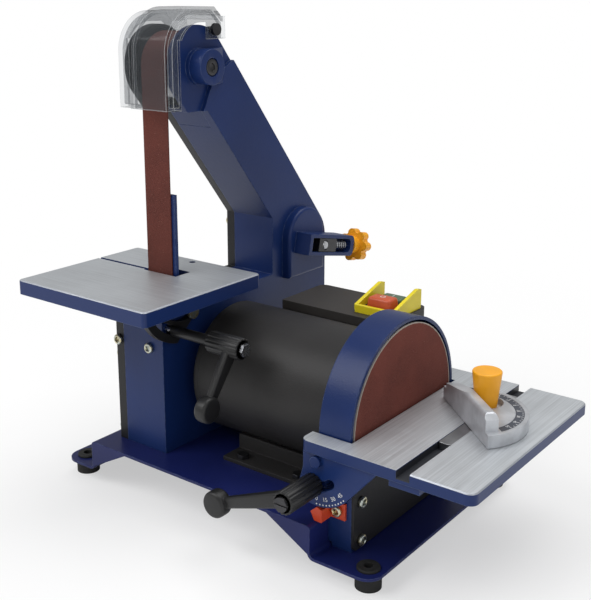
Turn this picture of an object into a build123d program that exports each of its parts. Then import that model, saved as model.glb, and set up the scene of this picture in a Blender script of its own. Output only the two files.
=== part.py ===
from build123d import *
import math
import os

os.makedirs("parts", exist_ok=True)

# Fits and gaps shared by the whole machine
run_gap = 0.3
slip = 0.05
rest_gap = 0.1

# Base plate on four rubber feet
sheet = 2.0
base_left = -115.0
base_right = 98.0
base_depth = 204.0
base_top = 35.5
base_bend = 3.0
gusset_reach = 36.0
gusset_drop = 21.0
foot_pitch_x = 272.0
foot_inset = 13.5
foot_height = 11.0
foot_diameter = 18.0
foot_neck = 11.0
foot_collar = 2.0
foot_bore = 6.5
flange_margin = 12.0
flange_corner = 12.0

# Motor
saddle_thickness = 5.9
motor_diameter = 100.0
motor_wall = 3.0
motor_left = -36.0
motor_right = 83.0
bell_plate = 6.0
shaft_diameter = 15.0
shaft_end_diameter = 12.0
bearing_outer = 35.0
bearing_width = 11.0
air_gap = 0.5
rotor_diameter = 57.0
stator_length = 54.0
stator_left = 8.0
winding_reach = 12.0
fan_clearance = 2.0
neck_diameter = 60.0

# Sanding disc and its housing
disc_face_x = 115.4
disc_diameter = 127.0
abrasive = 1.0
disc_plate_thickness = 9.0
housing_back = 90.0
housing_wall = 2.5
disc_clearance = 1.7
lower_cover_drop = 30.0
lower_cover_sheet = 2.0

# Disc table, its trunnions and its clamp
disc_table_left = 85.8
disc_table_right = 213.0
disc_table_front = -96.5
disc_table_back = 77.0
disc_table_rise = 1.5
disc_table_thickness = 8.0
disc_table_gap = 2.0
tilt_range = 45.0
pivot_x = 98.0
pivot_drop = 13.5
clamp_x = 95.5
clamp_drop = 17.0
trunnion_thickness = 5.0
trunnion_clear = 12.0
slot_width = 9.6
slot_x = 164.5
slot_depth = 5.2
screw_diameter = 6.0

# Mitre gauge
mitre_y = 12.8
mitre_angle = -41.8
mitre_bar_front = -45.0
mitre_bar_length = 100.0
fence_half = 38.0
fence_offset = 9.5
fence_thickness = 9.0
fence_set = 19.0
fence_low = 13.0
fence_high = 21.0
head_thickness = 9.0
head_radius = 43.0

# Belt, its three wheels and the frame round them
belt_x = -77.2
belt_front_y = -58.0
belt_width = 25.4
belt_thickness = 1.0
wheel_width = 27.0
drive_wheel_diameter = 87.0
top_wheel_diameter = 48.0
rear_wheel_diameter = 48.0
top_wheel_z = 324.3
rear_wheel_y = 93.3
rear_wheel_z = 167.7
wheel_axle = 8.0
wheel_bearing_outer = 22.0
wheel_bearing_width = 7.0
frame_face = -53.0
frame_web = 7.5
frame_open = -94.5
frame_wall = 3.2
belt_air = 1.5
frame_front = -82.0
frame_floor_z = 148.0
throat_y = 49.0
throat_knee_z = 196.0
head_drop = 32.9
head_bottom_y = -26.9
cover_depth = 10.0
cover_wall = 2.5
boss_diameter = 27.0
head_recess = 3.5
tension_angle = -12.0
tension_boss_half = 24.5
tension_boss_height = 8.0
lug_length = 42.0
lug_height = 18.0
lug_wall = 3.0
lug_depth = 15.5
rod_diameter = 6.0
thread_pitch = 1.25
knob_turns = 6

# Belt table, its tilt bracket and its clamp
belt_table_left = -146.4
belt_table_right = -13.5
belt_table_front = -137.3
belt_table_back = -15.2
belt_table_top = 170.0
belt_table_plate = 5.0
belt_table_skirt = 11.0
belt_table_wall = 4.0
belt_tilt_y = -64.0
bracket_screw_set = 28.0
belt_tilt_z = 166.0
belt_clamp_y = -76.0
belt_clamp_z = 134.0
bracket_thickness = 5.0
bracket_radius = 44.0
guide_radius = 24.0
guide_angle = -70.0
hub_diameter = 16.0
hub_length = 29.0
lever_reach = 47.0
paddle_diameter = 19.0

# Platen and clear guard
platen_thickness = 3.0
platen_bottom = 124.0
platen_top = 231.0
guard_sheet = 2.2
guard_left = -108.0
guard_air = 9.7
guard_reach = 5.0
guard_lip = 8.0
guard_step = 3.0

# Switch box
box_left = -15.0
table_gap = 1.3
box_set = 27.0
box_room = 31.2
box_rise = 0.5
box_wall = 2.5
bezel_left = 47.0
bezel_width = 36.0
bezel_set = 8.2
bezel_depth = 40.0
button_travel = 3.0

# Sizes that follow from the ones above
foot_plate_top = foot_height + sheet
foot_pitch_y = base_depth - 2 * foot_inset
motor_z = base_top + saddle_thickness + rest_gap + motor_diameter / 2
disc_table_top = motor_z + disc_table_rise
head_bottom_z = top_wheel_z - head_drop
box_right = disc_table_left - table_gap
pivot_z = disc_table_top - pivot_drop
trunnion_radius = pivot_z - base_top - trunnion_clear
clamp_z = pivot_z - clamp_drop
lower_cover_top = disc_table_top - lower_cover_drop
drive_radius = drive_wheel_diameter / 2
belt_back_y = belt_front_y + belt_thickness
motor_y = belt_back_y + run_gap + drive_radius
motor_radius = motor_diameter / 2
tube_bore = motor_radius - motor_wall
spigot_radius = tube_bore - rest_gap
box_front = motor_y + box_set
bezel_front = box_front + bezel_set
box_back = motor_y + motor_radius + box_room
box_top = motor_z + motor_radius + box_rise
disc_radius = disc_diameter / 2
housing_inner = disc_radius + disc_clearance
housing_outer = housing_inner + housing_wall
housing_front_y = motor_y - housing_outer
housing_rear_y = motor_y + housing_outer
drum_front = disc_face_x
cover_x = disc_face_x + 1.5
table_bottom = disc_table_top - disc_table_thickness
top_radius = top_wheel_diameter / 2
rear_radius = rear_wheel_diameter / 2
top_wheel_y = belt_back_y + run_gap + top_radius
wheel_left = belt_x - wheel_width / 2
wheel_right = belt_x + wheel_width / 2
head_radius_out = top_radius + run_gap + belt_thickness + belt_air + frame_wall
guard_top = top_wheel_z + head_radius_out + guard_air
guard_front = belt_front_y - guard_reach
guard_bottom = head_bottom_z + run_gap * 8
rear_radius_out = rear_radius + run_gap + belt_thickness + belt_air + frame_wall
frame_back = rear_wheel_y + rear_radius_out
web_inner = frame_face - frame_web
cover_left = frame_open - cover_depth
lug_face = frame_face + tension_boss_height
lug_open = lug_face + lug_depth
pocket_half = lug_height / 2 - lug_wall
slide_travel = thread_pitch * knob_turns
bracket_left = frame_face + run_gap
bracket_right = bracket_left + bracket_thickness
clamp_radius = math.hypot(belt_clamp_y - belt_tilt_y, belt_clamp_z - belt_tilt_z)
clamp_angle = math.degrees(math.atan2(belt_clamp_z - belt_tilt_z, belt_clamp_y - belt_tilt_y))
hub_left = belt_table_right + 4.5
disc_clamp_radius = math.hypot(clamp_x - pivot_x, clamp_z - pivot_z)
disc_clamp_angle = math.degrees(math.atan2(clamp_z - pivot_z, clamp_x - pivot_x))

low = (Align.CENTER, Align.CENTER, Align.MIN)
corner = (Align.MIN, Align.MIN, Align.MIN)


def bar_x(x0, x1, y, z, diameter, mode=Mode.ADD):
    with Locations(Location((x0, y, z), (0, 90, 0))):
        Cylinder(diameter / 2, x1 - x0, align=low, mode=mode)


def bar_y(x, y0, y1, z, diameter, mode=Mode.ADD):
    with Locations(Location((x, y0, z), (-90, 0, 0))):
        Cylinder(diameter / 2, y1 - y0, align=low, mode=mode)


def bar_z(x, y, z0, z1, diameter, mode=Mode.ADD):
    with Locations(Location((x, y, z0))):
        Cylinder(diameter / 2, z1 - z0, align=low, mode=mode)


def block(x0, x1, y0, y1, z0, z1, mode=Mode.ADD):
    with Locations(Location((x0, y0, z0))):
        Box(x1 - x0, y1 - y0, z1 - z0, align=corner, mode=mode)


def save(node, label):
    node.part.label = label
    export_step(node.part, "parts/" + label + ".step")


def around(centre, radius, degrees):
    angle = math.radians(degrees)
    return (centre[0] + radius * math.cos(angle), centre[1] + radius * math.sin(angle))


# Base plate: top, two legs, two flanges and corner gussets
flange_end = foot_pitch_x / 2 + flange_margin
frame_bolt_ys = (-60.0, 25.0, 66.0)
saddle_xs = (2.0, 54.0)
saddle_reach = motor_radius - 7.0
saddle_ys = (motor_y - saddle_reach, motor_y + saddle_reach)
housing_screw_ys = (motor_y - 38.0, motor_y + 38.0)
housing_screw_x = base_right + 9.0
with BuildPart() as base_plate:
    with BuildSketch(Plane.XZ):
        with BuildLine():
            FilletPolyline(
                (-flange_end, foot_plate_top),
                (base_left, foot_plate_top),
                (base_left, base_top),
                (base_right, base_top),
                (base_right, foot_plate_top),
                (flange_end, foot_plate_top),
                radius=base_bend,
            )
            offset(amount=sheet, side=Side.RIGHT)
        make_face()
    extrude(amount=base_depth / 2, both=True)
    ends = base_plate.edges().filter_by(Axis.Z).group_by(Axis.X)
    fillet(ends[0] + ends[-1], radius=flange_corner)
    for side_y in (-base_depth / 2 + sheet, base_depth / 2):
        for leg_x, way in ((base_left + sheet, 1), (base_right - sheet, -1)):
            with BuildSketch(Plane.XZ.offset(-side_y)):
                with BuildLine():
                    Polyline(
                        (leg_x - way * 0.5, base_top - sheet + 0.5),
                        (leg_x - way * 0.5, base_top - gusset_drop),
                        (leg_x + way * gusset_reach, base_top - sheet + 0.5),
                        close=True,
                    )
                make_face()
            extrude(amount=sheet)
    with Locations((0, 0, foot_plate_top)):
        with GridLocations(foot_pitch_x, foot_pitch_y, 2, 2):
            Hole(foot_neck / 2, depth=sheet * 2)
    for bolt_y in frame_bolt_ys:
        bar_z(belt_x, bolt_y, base_top - 3, base_top + 1, 6.4, Mode.SUBTRACT)
    for saddle_x in saddle_xs:
        for saddle_y in saddle_ys:
            bar_z(saddle_x, saddle_y, base_top - 3, base_top + 1, 5.4, Mode.SUBTRACT)
    for screw_y in housing_screw_ys:
        bar_z(housing_screw_x, screw_y, foot_height - 1, foot_plate_top + 1, 5.4, Mode.SUBTRACT)
save(base_plate, "base_plate")

with BuildPart() as rubber_feet:
    with GridLocations(foot_pitch_x, foot_pitch_y, 2, 2):
        Cylinder(foot_diameter / 2, foot_height, align=low)
    with Locations((0, 0, foot_height)):
        with GridLocations(foot_pitch_x, foot_pitch_y, 2, 2):
            Cylinder(foot_neck / 2 - rest_gap, sheet + foot_collar, align=low)
    with Locations((0, 0, foot_plate_top)):
        with GridLocations(foot_pitch_x, foot_pitch_y, 2, 2):
            Cylinder(foot_diameter / 2 - 1, foot_collar, align=low)
    fillet(rubber_feet.edges().filter_by(GeomType.CIRCLE).group_by(Axis.Z)[-1], radius=1.2)
    with GridLocations(foot_pitch_x, foot_pitch_y, 2, 2):
        Cylinder(foot_bore / 2, foot_plate_top * 4, mode=Mode.SUBTRACT)
save(rubber_feet, "rubber_feet")

# Motor: tube, end bells, saddle, stator, rotor, shaft, bearings and fan
with BuildPart() as motor_housing:
    bar_x(motor_left, motor_right, motor_y, motor_z, motor_diameter)
    bar_x(motor_left, motor_right, motor_y, motor_z, tube_bore * 2, Mode.SUBTRACT)
save(motor_housing, "motor_housing")

spigot = 10.0
spigot_inner = spigot_radius - 6.0
left_seat = motor_left - bearing_width
with BuildPart() as end_bell_left:
    bar_x(motor_left - bell_plate, motor_left, motor_y, motor_z, motor_diameter)
    fillet(end_bell_left.edges().filter_by(GeomType.CIRCLE).group_by(Axis.X)[0], radius=3)
    bar_x(motor_left, motor_left + spigot, motor_y, motor_z, spigot_radius * 2)
    bar_x(frame_face, motor_left, motor_y, motor_z, neck_diameter)
    bar_x(motor_left, motor_left + spigot, motor_y, motor_z, spigot_inner * 2, Mode.SUBTRACT)
    bar_x(left_seat, motor_left, motor_y, motor_z, bearing_outer, Mode.SUBTRACT)
    bar_x(frame_face, left_seat, motor_y, motor_z, shaft_diameter + 4, Mode.SUBTRACT)
    with BuildSketch(Plane.YZ.offset(motor_left - bell_plate)):
        with Locations((motor_y, motor_z)):
            with PolarLocations(motor_radius - 11, 8, 22.5):
                SlotOverall(14, 5)
    extrude(amount=bell_plate, mode=Mode.SUBTRACT)
save(end_bell_left, "motor_end_bell_left")

seat_step = 4.0
right_seat = motor_right + seat_step
with BuildPart() as end_bell_right:
    bar_x(motor_right, housing_back, motor_y, motor_z, motor_diameter)
    bar_x(motor_right - spigot, motor_right, motor_y, motor_z, spigot_radius * 2)
    bar_x(motor_right - spigot, motor_right, motor_y, motor_z, spigot_inner * 2, Mode.SUBTRACT)
    bar_x(right_seat - bearing_width, motor_right, motor_y, motor_z, bearing_outer + 10)
    bar_x(right_seat - bearing_width, right_seat, motor_y, motor_z, bearing_outer, Mode.SUBTRACT)
    bar_x(right_seat, housing_back, motor_y, motor_z, shaft_diameter + 4, Mode.SUBTRACT)
save(end_bell_right, "motor_end_bell_right")

saddle_outer = motor_radius + saddle_thickness
saddle_foot = 3.0
with BuildPart() as motor_saddle:
    with BuildSketch(Plane.YZ.offset(saddle_xs[0] - 14)):
        with Locations((motor_y, motor_z)):
            Circle(saddle_outer)
            Rectangle(saddle_outer * 1.1, saddle_outer * 2, mode=Mode.INTERSECT)
        with Locations((motor_y, base_top + saddle_foot / 2)):
            Rectangle(motor_diameter - 1, saddle_foot)
        with Locations((motor_y, base_top + 7)):
            Rectangle(saddle_outer * 1.1, 14)
        with Locations((motor_y, motor_z + 14)):
            Rectangle(saddle_outer * 4, saddle_outer * 2, mode=Mode.SUBTRACT)
        with Locations((motor_y, motor_z)):
            Circle(motor_radius + rest_gap, mode=Mode.SUBTRACT)
    extrude(amount=saddle_xs[1] - saddle_xs[0] + 28)
    for saddle_x in saddle_xs:
        for saddle_y in saddle_ys:
            bar_z(saddle_x, saddle_y, base_top - 1, base_top + 4, 5.4, Mode.SUBTRACT)
save(motor_saddle, "motor_saddle")

stator_right = stator_left + stator_length
stator_bore = rotor_diameter + 2 * air_gap
with BuildPart() as stator:
    bar_x(stator_left, stator_right, motor_y, motor_z, spigot_radius * 2)
    bar_x(stator_left - winding_reach, stator_right + winding_reach, motor_y, motor_z, spigot_radius * 2 - 10)
    fillet(stator.edges().filter_by(GeomType.CIRCLE).group_by(Axis.X)[0], radius=4)
    fillet(stator.edges().filter_by(GeomType.CIRCLE).group_by(Axis.X)[-1], radius=4)
    bar_x(stator_left - 20, stator_right + 20, motor_y, motor_z, stator_bore, Mode.SUBTRACT)
save(stator, "stator")

with BuildPart() as rotor:
    bar_x(stator_left, stator_right, motor_y, motor_z, rotor_diameter)
    bar_x(stator_left - 6, stator_right + 6, motor_y, motor_z, rotor_diameter - 12)
    bar_x(stator_left - 9, stator_right + 9, motor_y, motor_z, shaft_diameter + 2 * slip, Mode.SUBTRACT)
save(rotor, "rotor")

shaft_left = wheel_left - 4
shaft_step_left = wheel_right + 3
shaft_step_right = housing_back + 6
hub_end = disc_face_x - abrasive - 4
with BuildPart() as motor_shaft:
    bar_x(shaft_step_left, shaft_step_right, motor_y, motor_z, shaft_diameter)
    bar_x(shaft_left, shaft_step_left, motor_y, motor_z, shaft_end_diameter)
    bar_x(shaft_step_right, hub_end, motor_y, motor_z, shaft_end_diameter)
    chamfer(motor_shaft.edges().filter_by(GeomType.CIRCLE).group_by(Axis.X)[0], length=1)
save(motor_shaft, "motor_shaft")

with BuildPart() as motor_bearings:
    for seat_x in (left_seat, right_seat - bearing_width):
        bar_x(seat_x, seat_x + bearing_width, motor_y, motor_z, bearing_outer - 2 * slip)
        for groove_x in (seat_x, seat_x + bearing_width - 1):
            bar_x(groove_x, groove_x + 1, motor_y, motor_z, 28, Mode.SUBTRACT)
            bar_x(groove_x, groove_x + 1, motor_y, motor_z, 21)
    bar_x(frame_face, housing_back, motor_y, motor_z, shaft_diameter + 2 * slip, Mode.SUBTRACT)
save(motor_bearings, "motor_bearings")

fan_left = motor_left + 10
fan_diameter = 2 * (spigot_inner - fan_clearance)
with BuildPart() as motor_fan:
    bar_x(fan_left, fan_left + 2, motor_y, motor_z, fan_diameter)
    with BuildSketch(Plane.YZ.offset(fan_left)):
        with Locations((motor_y, motor_z)):
            with PolarLocations(fan_diameter / 2 - 12, 7):
                Rectangle(24, 2)
    extrude(amount=9)
    bar_x(fan_left, fan_left + 9, motor_y, motor_z, shaft_diameter + 10)
    bar_x(fan_left, fan_left + 9, motor_y, motor_z, shaft_diameter + 2 * slip, Mode.SUBTRACT)
save(motor_fan, "motor_fan")

# Sanding disc on the motor shaft
plate_left = disc_face_x - abrasive - disc_plate_thickness
with BuildPart() as disc_plate:
    bar_x(plate_left, disc_face_x - abrasive, motor_y, motor_z, disc_diameter)
    chamfer(disc_plate.edges().filter_by(GeomType.CIRCLE).group_by(Axis.X)[0], length=2)
    bar_x(shaft_step_right, plate_left, motor_y, motor_z, 32)
    bar_x(shaft_step_right, hub_end, motor_y, motor_z, shaft_end_diameter + 2 * slip, Mode.SUBTRACT)
save(disc_plate, "disc_plate")

with BuildPart() as abrasive_disc:
    bar_x(disc_face_x - abrasive, disc_face_x, motor_y, motor_z, disc_diameter)
save(abrasive_disc, "abrasive_disc")

# Disc housing: half-round drum on straight walls, standing on the base flange
cover_screw_zs = (20.0, 48.0)
pointer_x = pivot_x + 9
pointer_z = base_top + 6.5
cover_screw_inset = 6.0
front_screw_y = housing_front_y + housing_wall + cover_screw_inset
rear_screw_y = housing_rear_y - housing_wall - cover_screw_inset
boss_reach = 8.0
with BuildPart() as disc_housing:
    with BuildSketch(Plane.YZ.offset(housing_back)):
        with Locations((motor_y, motor_z)):
            Circle(housing_outer)
        with Locations((motor_y, (motor_z + foot_plate_top) / 2)):
            Rectangle(housing_outer * 2, motor_z - foot_plate_top)
    extrude(amount=drum_front - housing_back)
    block(
        housing_back, cover_x, housing_front_y, housing_rear_y, foot_plate_top, lower_cover_top
    )
    with BuildSketch(Plane.YZ.offset(housing_back + housing_wall)):
        with Locations((motor_y, motor_z)):
            Circle(housing_inner)
        with Locations((motor_y, (motor_z + foot_plate_top + housing_wall) / 2)):
            Rectangle(housing_inner * 2, motor_z - foot_plate_top - housing_wall)
    extrude(amount=cover_x - housing_back, mode=Mode.SUBTRACT)
    block(
        housing_back - 1, base_right + rest_gap, housing_front_y - 1, housing_rear_y + 1,
        0, base_top + rest_gap, Mode.SUBTRACT,
    )
    block(
        housing_back - 1, base_right + base_bend, housing_front_y - 1, housing_rear_y + 1,
        0, foot_plate_top + base_bend, Mode.SUBTRACT,
    )
    for post_y in (front_screw_y - cover_screw_inset, rear_screw_y - 4):
        block(
            cover_x - 14, cover_x, post_y, post_y + 10,
            foot_plate_top + housing_wall, cover_screw_zs[1] + 6,
        )
    bar_x(housing_back - 1, housing_back + 4, motor_y, motor_z, 40, Mode.SUBTRACT)
    for boss_x, boss_z in ((pivot_x, pivot_z), (clamp_x, clamp_z)):
        bar_y(boss_x, housing_front_y - boss_reach, housing_front_y + 1, boss_z, 11)
    bar_y(pivot_x, housing_rear_y - 1, housing_rear_y + boss_reach + 1, pivot_z, 11)
    for boss_x, boss_z in ((pivot_x, pivot_z), (clamp_x, clamp_z)):
        bar_y(boss_x, housing_front_y - 20, housing_front_y + 6, boss_z, screw_diameter + 0.2, Mode.SUBTRACT)
    bar_y(pivot_x, housing_rear_y - 6, housing_rear_y + 20, pivot_z, screw_diameter + 0.2, Mode.SUBTRACT)
    for screw_z in cover_screw_zs:
        for screw_y in (front_screw_y, rear_screw_y):
            bar_x(cover_x - 12, cover_x, screw_y, screw_z, 4.2, Mode.SUBTRACT)
    for screw_y in housing_screw_ys:
        bar_z(housing_screw_x, screw_y, foot_plate_top - 1, foot_plate_top + 4, 5.4, Mode.SUBTRACT)
    bar_y(pointer_x, housing_front_y - 1, housing_front_y + 5, pointer_z, 4.2, Mode.SUBTRACT)
save(disc_housing, "disc_housing")

with BuildPart() as lower_cover:
    block(
        cover_x, cover_x + lower_cover_sheet, housing_front_y, housing_rear_y,
        foot_plate_top + 1, lower_cover_top,
    )
    fillet(lower_cover.edges().filter_by(Axis.X), radius=4)
    for screw_z in cover_screw_zs:
        for screw_y in (front_screw_y, rear_screw_y):
            bar_x(cover_x - 1, cover_x + 4, screw_y, screw_z, 4.4, Mode.SUBTRACT)
save(lower_cover, "lower_disc_cover")

# Disc table: plate round the disc with a mitre slot and a rib under it
front_trunnion_y = housing_front_y - boss_reach - run_gap
rear_trunnion_y = housing_rear_y + boss_reach + 1 + run_gap + trunnion_thickness
table_edge = disc_face_x + disc_table_gap
cut_front = housing_front_y - 1.3
cut_back = housing_rear_y + 1.3
with BuildPart() as disc_table:
    block(
        disc_table_left, disc_table_right, disc_table_front, disc_table_back,
        table_bottom, disc_table_top,
    )
    fillet(disc_table.edges().filter_by(Axis.Z), radius=6)
    block(
        disc_table_left - 1, table_edge, cut_front, cut_back,
        table_bottom - 1, disc_table_top + 1, Mode.SUBTRACT,
    )
    block(
        slot_x - 11, slot_x + 11, disc_table_front + 2, disc_table_back - 2,
        table_bottom - 5, table_bottom,
    )
    block(
        slot_x - slot_width / 2, slot_x + slot_width / 2, disc_table_front - 1, disc_table_back + 1,
        disc_table_top - slot_depth, disc_table_top + 1, Mode.SUBTRACT,
    )
    chamfer(disc_table.edges().filter_by(Axis.Y).group_by(Axis.X)[-1].group_by(Axis.Z)[-1], length=0.8)
    for screw_y in (front_trunnion_y - 2.5, rear_trunnion_y - 2.5):
        for screw_x in (pivot_x + 10, pivot_x + 38):
            bar_z(screw_x, screw_y, table_bottom - 1, table_bottom + 5, 3.2, Mode.SUBTRACT)
save(disc_table, "disc_table")

knee = around((pivot_x, pivot_z), trunnion_radius, -36)
side = around((pivot_x, pivot_z), trunnion_radius, -122)
bottom_point = around((pivot_x, pivot_z), trunnion_radius, -80)
with BuildPart() as trunnion_front:
    with BuildSketch(Plane.XZ.offset(-front_trunnion_y)):
        with BuildLine():
            Polyline(side, (disc_table_left + 1, table_bottom - 12), (disc_table_left + 1, table_bottom),
                     (pivot_x + 47, table_bottom), knee)
            ThreePointArc(knee, bottom_point, side)
        make_face()
        with Locations((pivot_x, pivot_z)):
            Circle(screw_diameter / 2 + 0.1, mode=Mode.SUBTRACT)
    extrude(amount=trunnion_thickness)
    with BuildSketch(Plane.XZ.offset(-front_trunnion_y)):
        with BuildLine() as slot_arc:
            CenterArc((pivot_x, pivot_z), disc_clamp_radius, disc_clamp_angle - 2, tilt_range + 4)
        SlotArc(slot_arc.edge(), screw_diameter + 0.8)
    extrude(amount=trunnion_thickness, mode=Mode.SUBTRACT)
save(trunnion_front, "disc_trunnion_front")

lug_round = 8.0
with BuildPart() as trunnion_rear:
    with BuildSketch(Plane.XZ.offset(-rear_trunnion_y)):
        with Locations((pivot_x, pivot_z)):
            Circle(lug_round)
        with Locations((pivot_x, (pivot_z + table_bottom) / 2)):
            Rectangle(lug_round * 2, table_bottom - pivot_z)
        with Locations((pivot_x + 16, table_bottom - 2)):
            Rectangle(50, 4)
        with Locations((pivot_x, pivot_z)):
            Circle(screw_diameter / 2 + 0.1, mode=Mode.SUBTRACT)
        with Locations((pivot_x, table_bottom + 20)):
            Rectangle(200, 40, mode=Mode.SUBTRACT)
    extrude(amount=trunnion_thickness)
save(trunnion_rear, "disc_trunnion_rear")

pivot_head_front = front_trunnion_y - trunnion_thickness - run_gap
pivot_head = 8.0
with BuildPart() as pivot_screws:
    bar_y(pivot_x, pivot_head_front, housing_front_y + 4, pivot_z, screw_diameter)
    bar_y(pivot_x, pivot_head_front - 2.5, pivot_head_front, pivot_z, pivot_head)
    bar_y(pivot_x, housing_rear_y - 4, rear_trunnion_y + run_gap, pivot_z, screw_diameter)
    bar_y(pivot_x, rear_trunnion_y + run_gap, rear_trunnion_y + run_gap + 2.5, pivot_z, pivot_head)
save(pivot_screws, "disc_pivot_screws")

lever_end_y = pivot_head_front - hub_length - 4
with BuildPart() as disc_clamp_bolt:
    bar_y(clamp_x, lever_end_y - 2.5, housing_front_y + 4, clamp_z, screw_diameter)
    bar_y(clamp_x, lever_end_y - 2.5, lever_end_y - run_gap, clamp_z, 10)
    block(clamp_x - 5, clamp_x + 5, lever_end_y - 3, lever_end_y - 1.4, clamp_z - 0.6, clamp_z + 0.6,
          Mode.SUBTRACT)
save(disc_clamp_bolt, "disc_clamp_bolt")

disc_lever_drop = -24.0
disc_lever_run = -63.0
with BuildPart() as disc_lever:
    bar_y(
        clamp_x + disc_lever_run, lever_end_y + 1.5, lever_end_y + 11.5,
        clamp_z + disc_lever_drop, paddle_diameter,
    )
    fillet(disc_lever.edges().filter_by(GeomType.CIRCLE), radius=2)
    bar_y(clamp_x, lever_end_y, pivot_head_front, clamp_z, hub_diameter)
    with BuildSketch(Plane.XZ.offset(-lever_end_y)):
        with Locations((clamp_x, clamp_z)):
            with PolarLocations(hub_diameter / 2 + 0.6, 10):
                Circle(1.6)
    extrude(amount=lever_end_y - pivot_head_front, mode=Mode.SUBTRACT)
    with BuildSketch(Plane.XZ.offset(-lever_end_y - 3)):
        with BuildLine():
            Polyline(
                (clamp_x, clamp_z + 6),
                (clamp_x + disc_lever_run, clamp_z + disc_lever_drop + 3.5),
                (clamp_x + disc_lever_run, clamp_z + disc_lever_drop - 3.5),
                (clamp_x, clamp_z - 6),
                close=True,
            )
        make_face()
    extrude(amount=-7)
    bar_y(clamp_x, lever_end_y - 1, pivot_head_front + 1, clamp_z, screw_diameter + 2 * slip, Mode.SUBTRACT)
save(disc_lever, "disc_table_lever")

# Red angle pointer under the trunnion scale
pointer_tip_z = pivot_z - trunnion_radius - 1
with BuildPart() as pointer:
    block(pointer_x - 8, pointer_x + 6, housing_front_y - 2, housing_front_y, pointer_z - 6, pointer_z + 6)
    block(pointer_x - 8, pointer_x - 5, front_trunnion_y - 5, housing_front_y, pointer_z - 6, pointer_z + 3)
    with BuildSketch(Plane.XZ.offset(-(front_trunnion_y - 3))):
        with BuildLine():
            Polyline(
                (pointer_x - 5, pointer_z - 6),
                (pointer_x - 5, pointer_z + 3),
                (pivot_x, pointer_tip_z),
                (pivot_x - 5, pointer_z),
                (pivot_x - 2, pointer_z - 6),
                close=True,
            )
        make_face()
    extrude(amount=2)
    bar_y(pointer_x, housing_front_y - 3, housing_front_y + 1, pointer_z, 4.2, Mode.SUBTRACT)
save(pointer, "angle_pointer")

# Mitre gauge: bar in the slot, head turned to one side, scale band and knob
bar_width = slot_width - 2 * 0.2
bar_top = disc_table_top - 0.2
bar_bottom = disc_table_top - slot_depth + run_gap
with BuildPart() as mitre_bar:
    block(
        slot_x - bar_width / 2, slot_x + bar_width / 2,
        mitre_bar_front, mitre_bar_front + mitre_bar_length, bar_bottom, bar_top,
    )
    chamfer(mitre_bar.edges().filter_by(Axis.Z), length=1.2)
    bar_z(slot_x, mitre_y, bar_bottom - 1, bar_top + 1, screw_diameter + 2 * slip, Mode.SUBTRACT)
save(mitre_bar, "mitre_bar")

turned = Plane(
    origin=(slot_x, mitre_y, disc_table_top + run_gap),
    x_dir=(math.cos(math.radians(mitre_angle)), math.sin(math.radians(mitre_angle)), 0),
    z_dir=(0, 0, 1),
)
fence_plane = Plane(
    origin=turned.from_local_coords((0, -fence_set, 0)), x_dir=turned.x_dir, z_dir=-turned.y_dir
)
dial_recess = 4.0
dial_inner = 12.0
band_width = 6.0
band_margin = 3.0
band_outer = head_radius - band_margin
band_inner = band_outer - band_width
band_depth = 0.6
fence_left = fence_offset - fence_half
fence_right = fence_offset + fence_half
with BuildPart() as mitre_head:
    with BuildSketch(turned):
        with BuildLine():
            Line((fence_offset - head_radius, -fence_set), (fence_offset + head_radius, -fence_set))
            CenterArc((fence_offset, -fence_set), head_radius, 0, 180)
        make_face()
    extrude(amount=head_thickness)
    with BuildSketch(fence_plane):
        with BuildLine():
            Polyline(
                (fence_left, 0),
                (fence_right, 0),
                (fence_right, fence_high - 4),
                (fence_right - 4, fence_high),
                (fence_offset, fence_high),
                (fence_left, fence_low),
                close=True,
            )
        make_face()
    extrude(amount=-fence_thickness)
    fillet(mitre_head.edges().group_by(Axis.Z)[-1], radius=3)
    # Sunk dial with a raised seat for the knob, and a band for the scale
    with BuildSketch(turned.offset(head_thickness - dial_recess)):
        Circle(dial_inner)
        with Locations((0, fence_thickness - fence_set - dial_inner)):
            Rectangle(4 * dial_inner, 2 * dial_inner, mode=Mode.SUBTRACT)
    extrude(amount=dial_recess, mode=Mode.SUBTRACT)
    with BuildSketch(turned.offset(head_thickness - band_depth)):
        with Locations((fence_offset, -fence_set)):
            Circle(band_outer)
            Circle(band_inner, mode=Mode.SUBTRACT)
        with Locations((fence_offset, fence_thickness - fence_set - head_radius + 2)):
            Rectangle(3 * head_radius, 2 * head_radius, mode=Mode.SUBTRACT)
    extrude(amount=band_depth, mode=Mode.SUBTRACT)
    with BuildSketch(turned):
        Circle(screw_diameter / 2 + 0.1)
    extrude(amount=head_thickness, mode=Mode.SUBTRACT)
save(mitre_head, "mitre_head")

with BuildPart() as mitre_scale:
    with BuildSketch(turned.offset(head_thickness - band_depth)):
        with Locations((fence_offset, -fence_set)):
            Circle(band_outer - rest_gap)
            Circle(band_inner + rest_gap, mode=Mode.SUBTRACT)
        with Locations((fence_offset, fence_thickness - fence_set - head_radius + 2 + rest_gap)):
            Rectangle(3 * head_radius, 2 * head_radius, mode=Mode.SUBTRACT)
    extrude(amount=band_depth - 0.1)
save(mitre_scale, "mitre_scale")

knob_bottom = disc_table_top + run_gap + head_thickness - dial_recess + 0.2
knob_height = 27.0
with BuildPart() as mitre_knob:
    bar_z(slot_x, mitre_y, bar_bottom + 0.5, knob_bottom + 2, screw_diameter)
    with Locations(Location((slot_x, mitre_y, knob_bottom))):
        Cone(7.5, 10.5, knob_height, align=low)
    fillet(mitre_knob.edges().filter_by(GeomType.CIRCLE).group_by(Axis.Z)[-1], radius=1.2)
save(mitre_knob, "mitre_knob")

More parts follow.
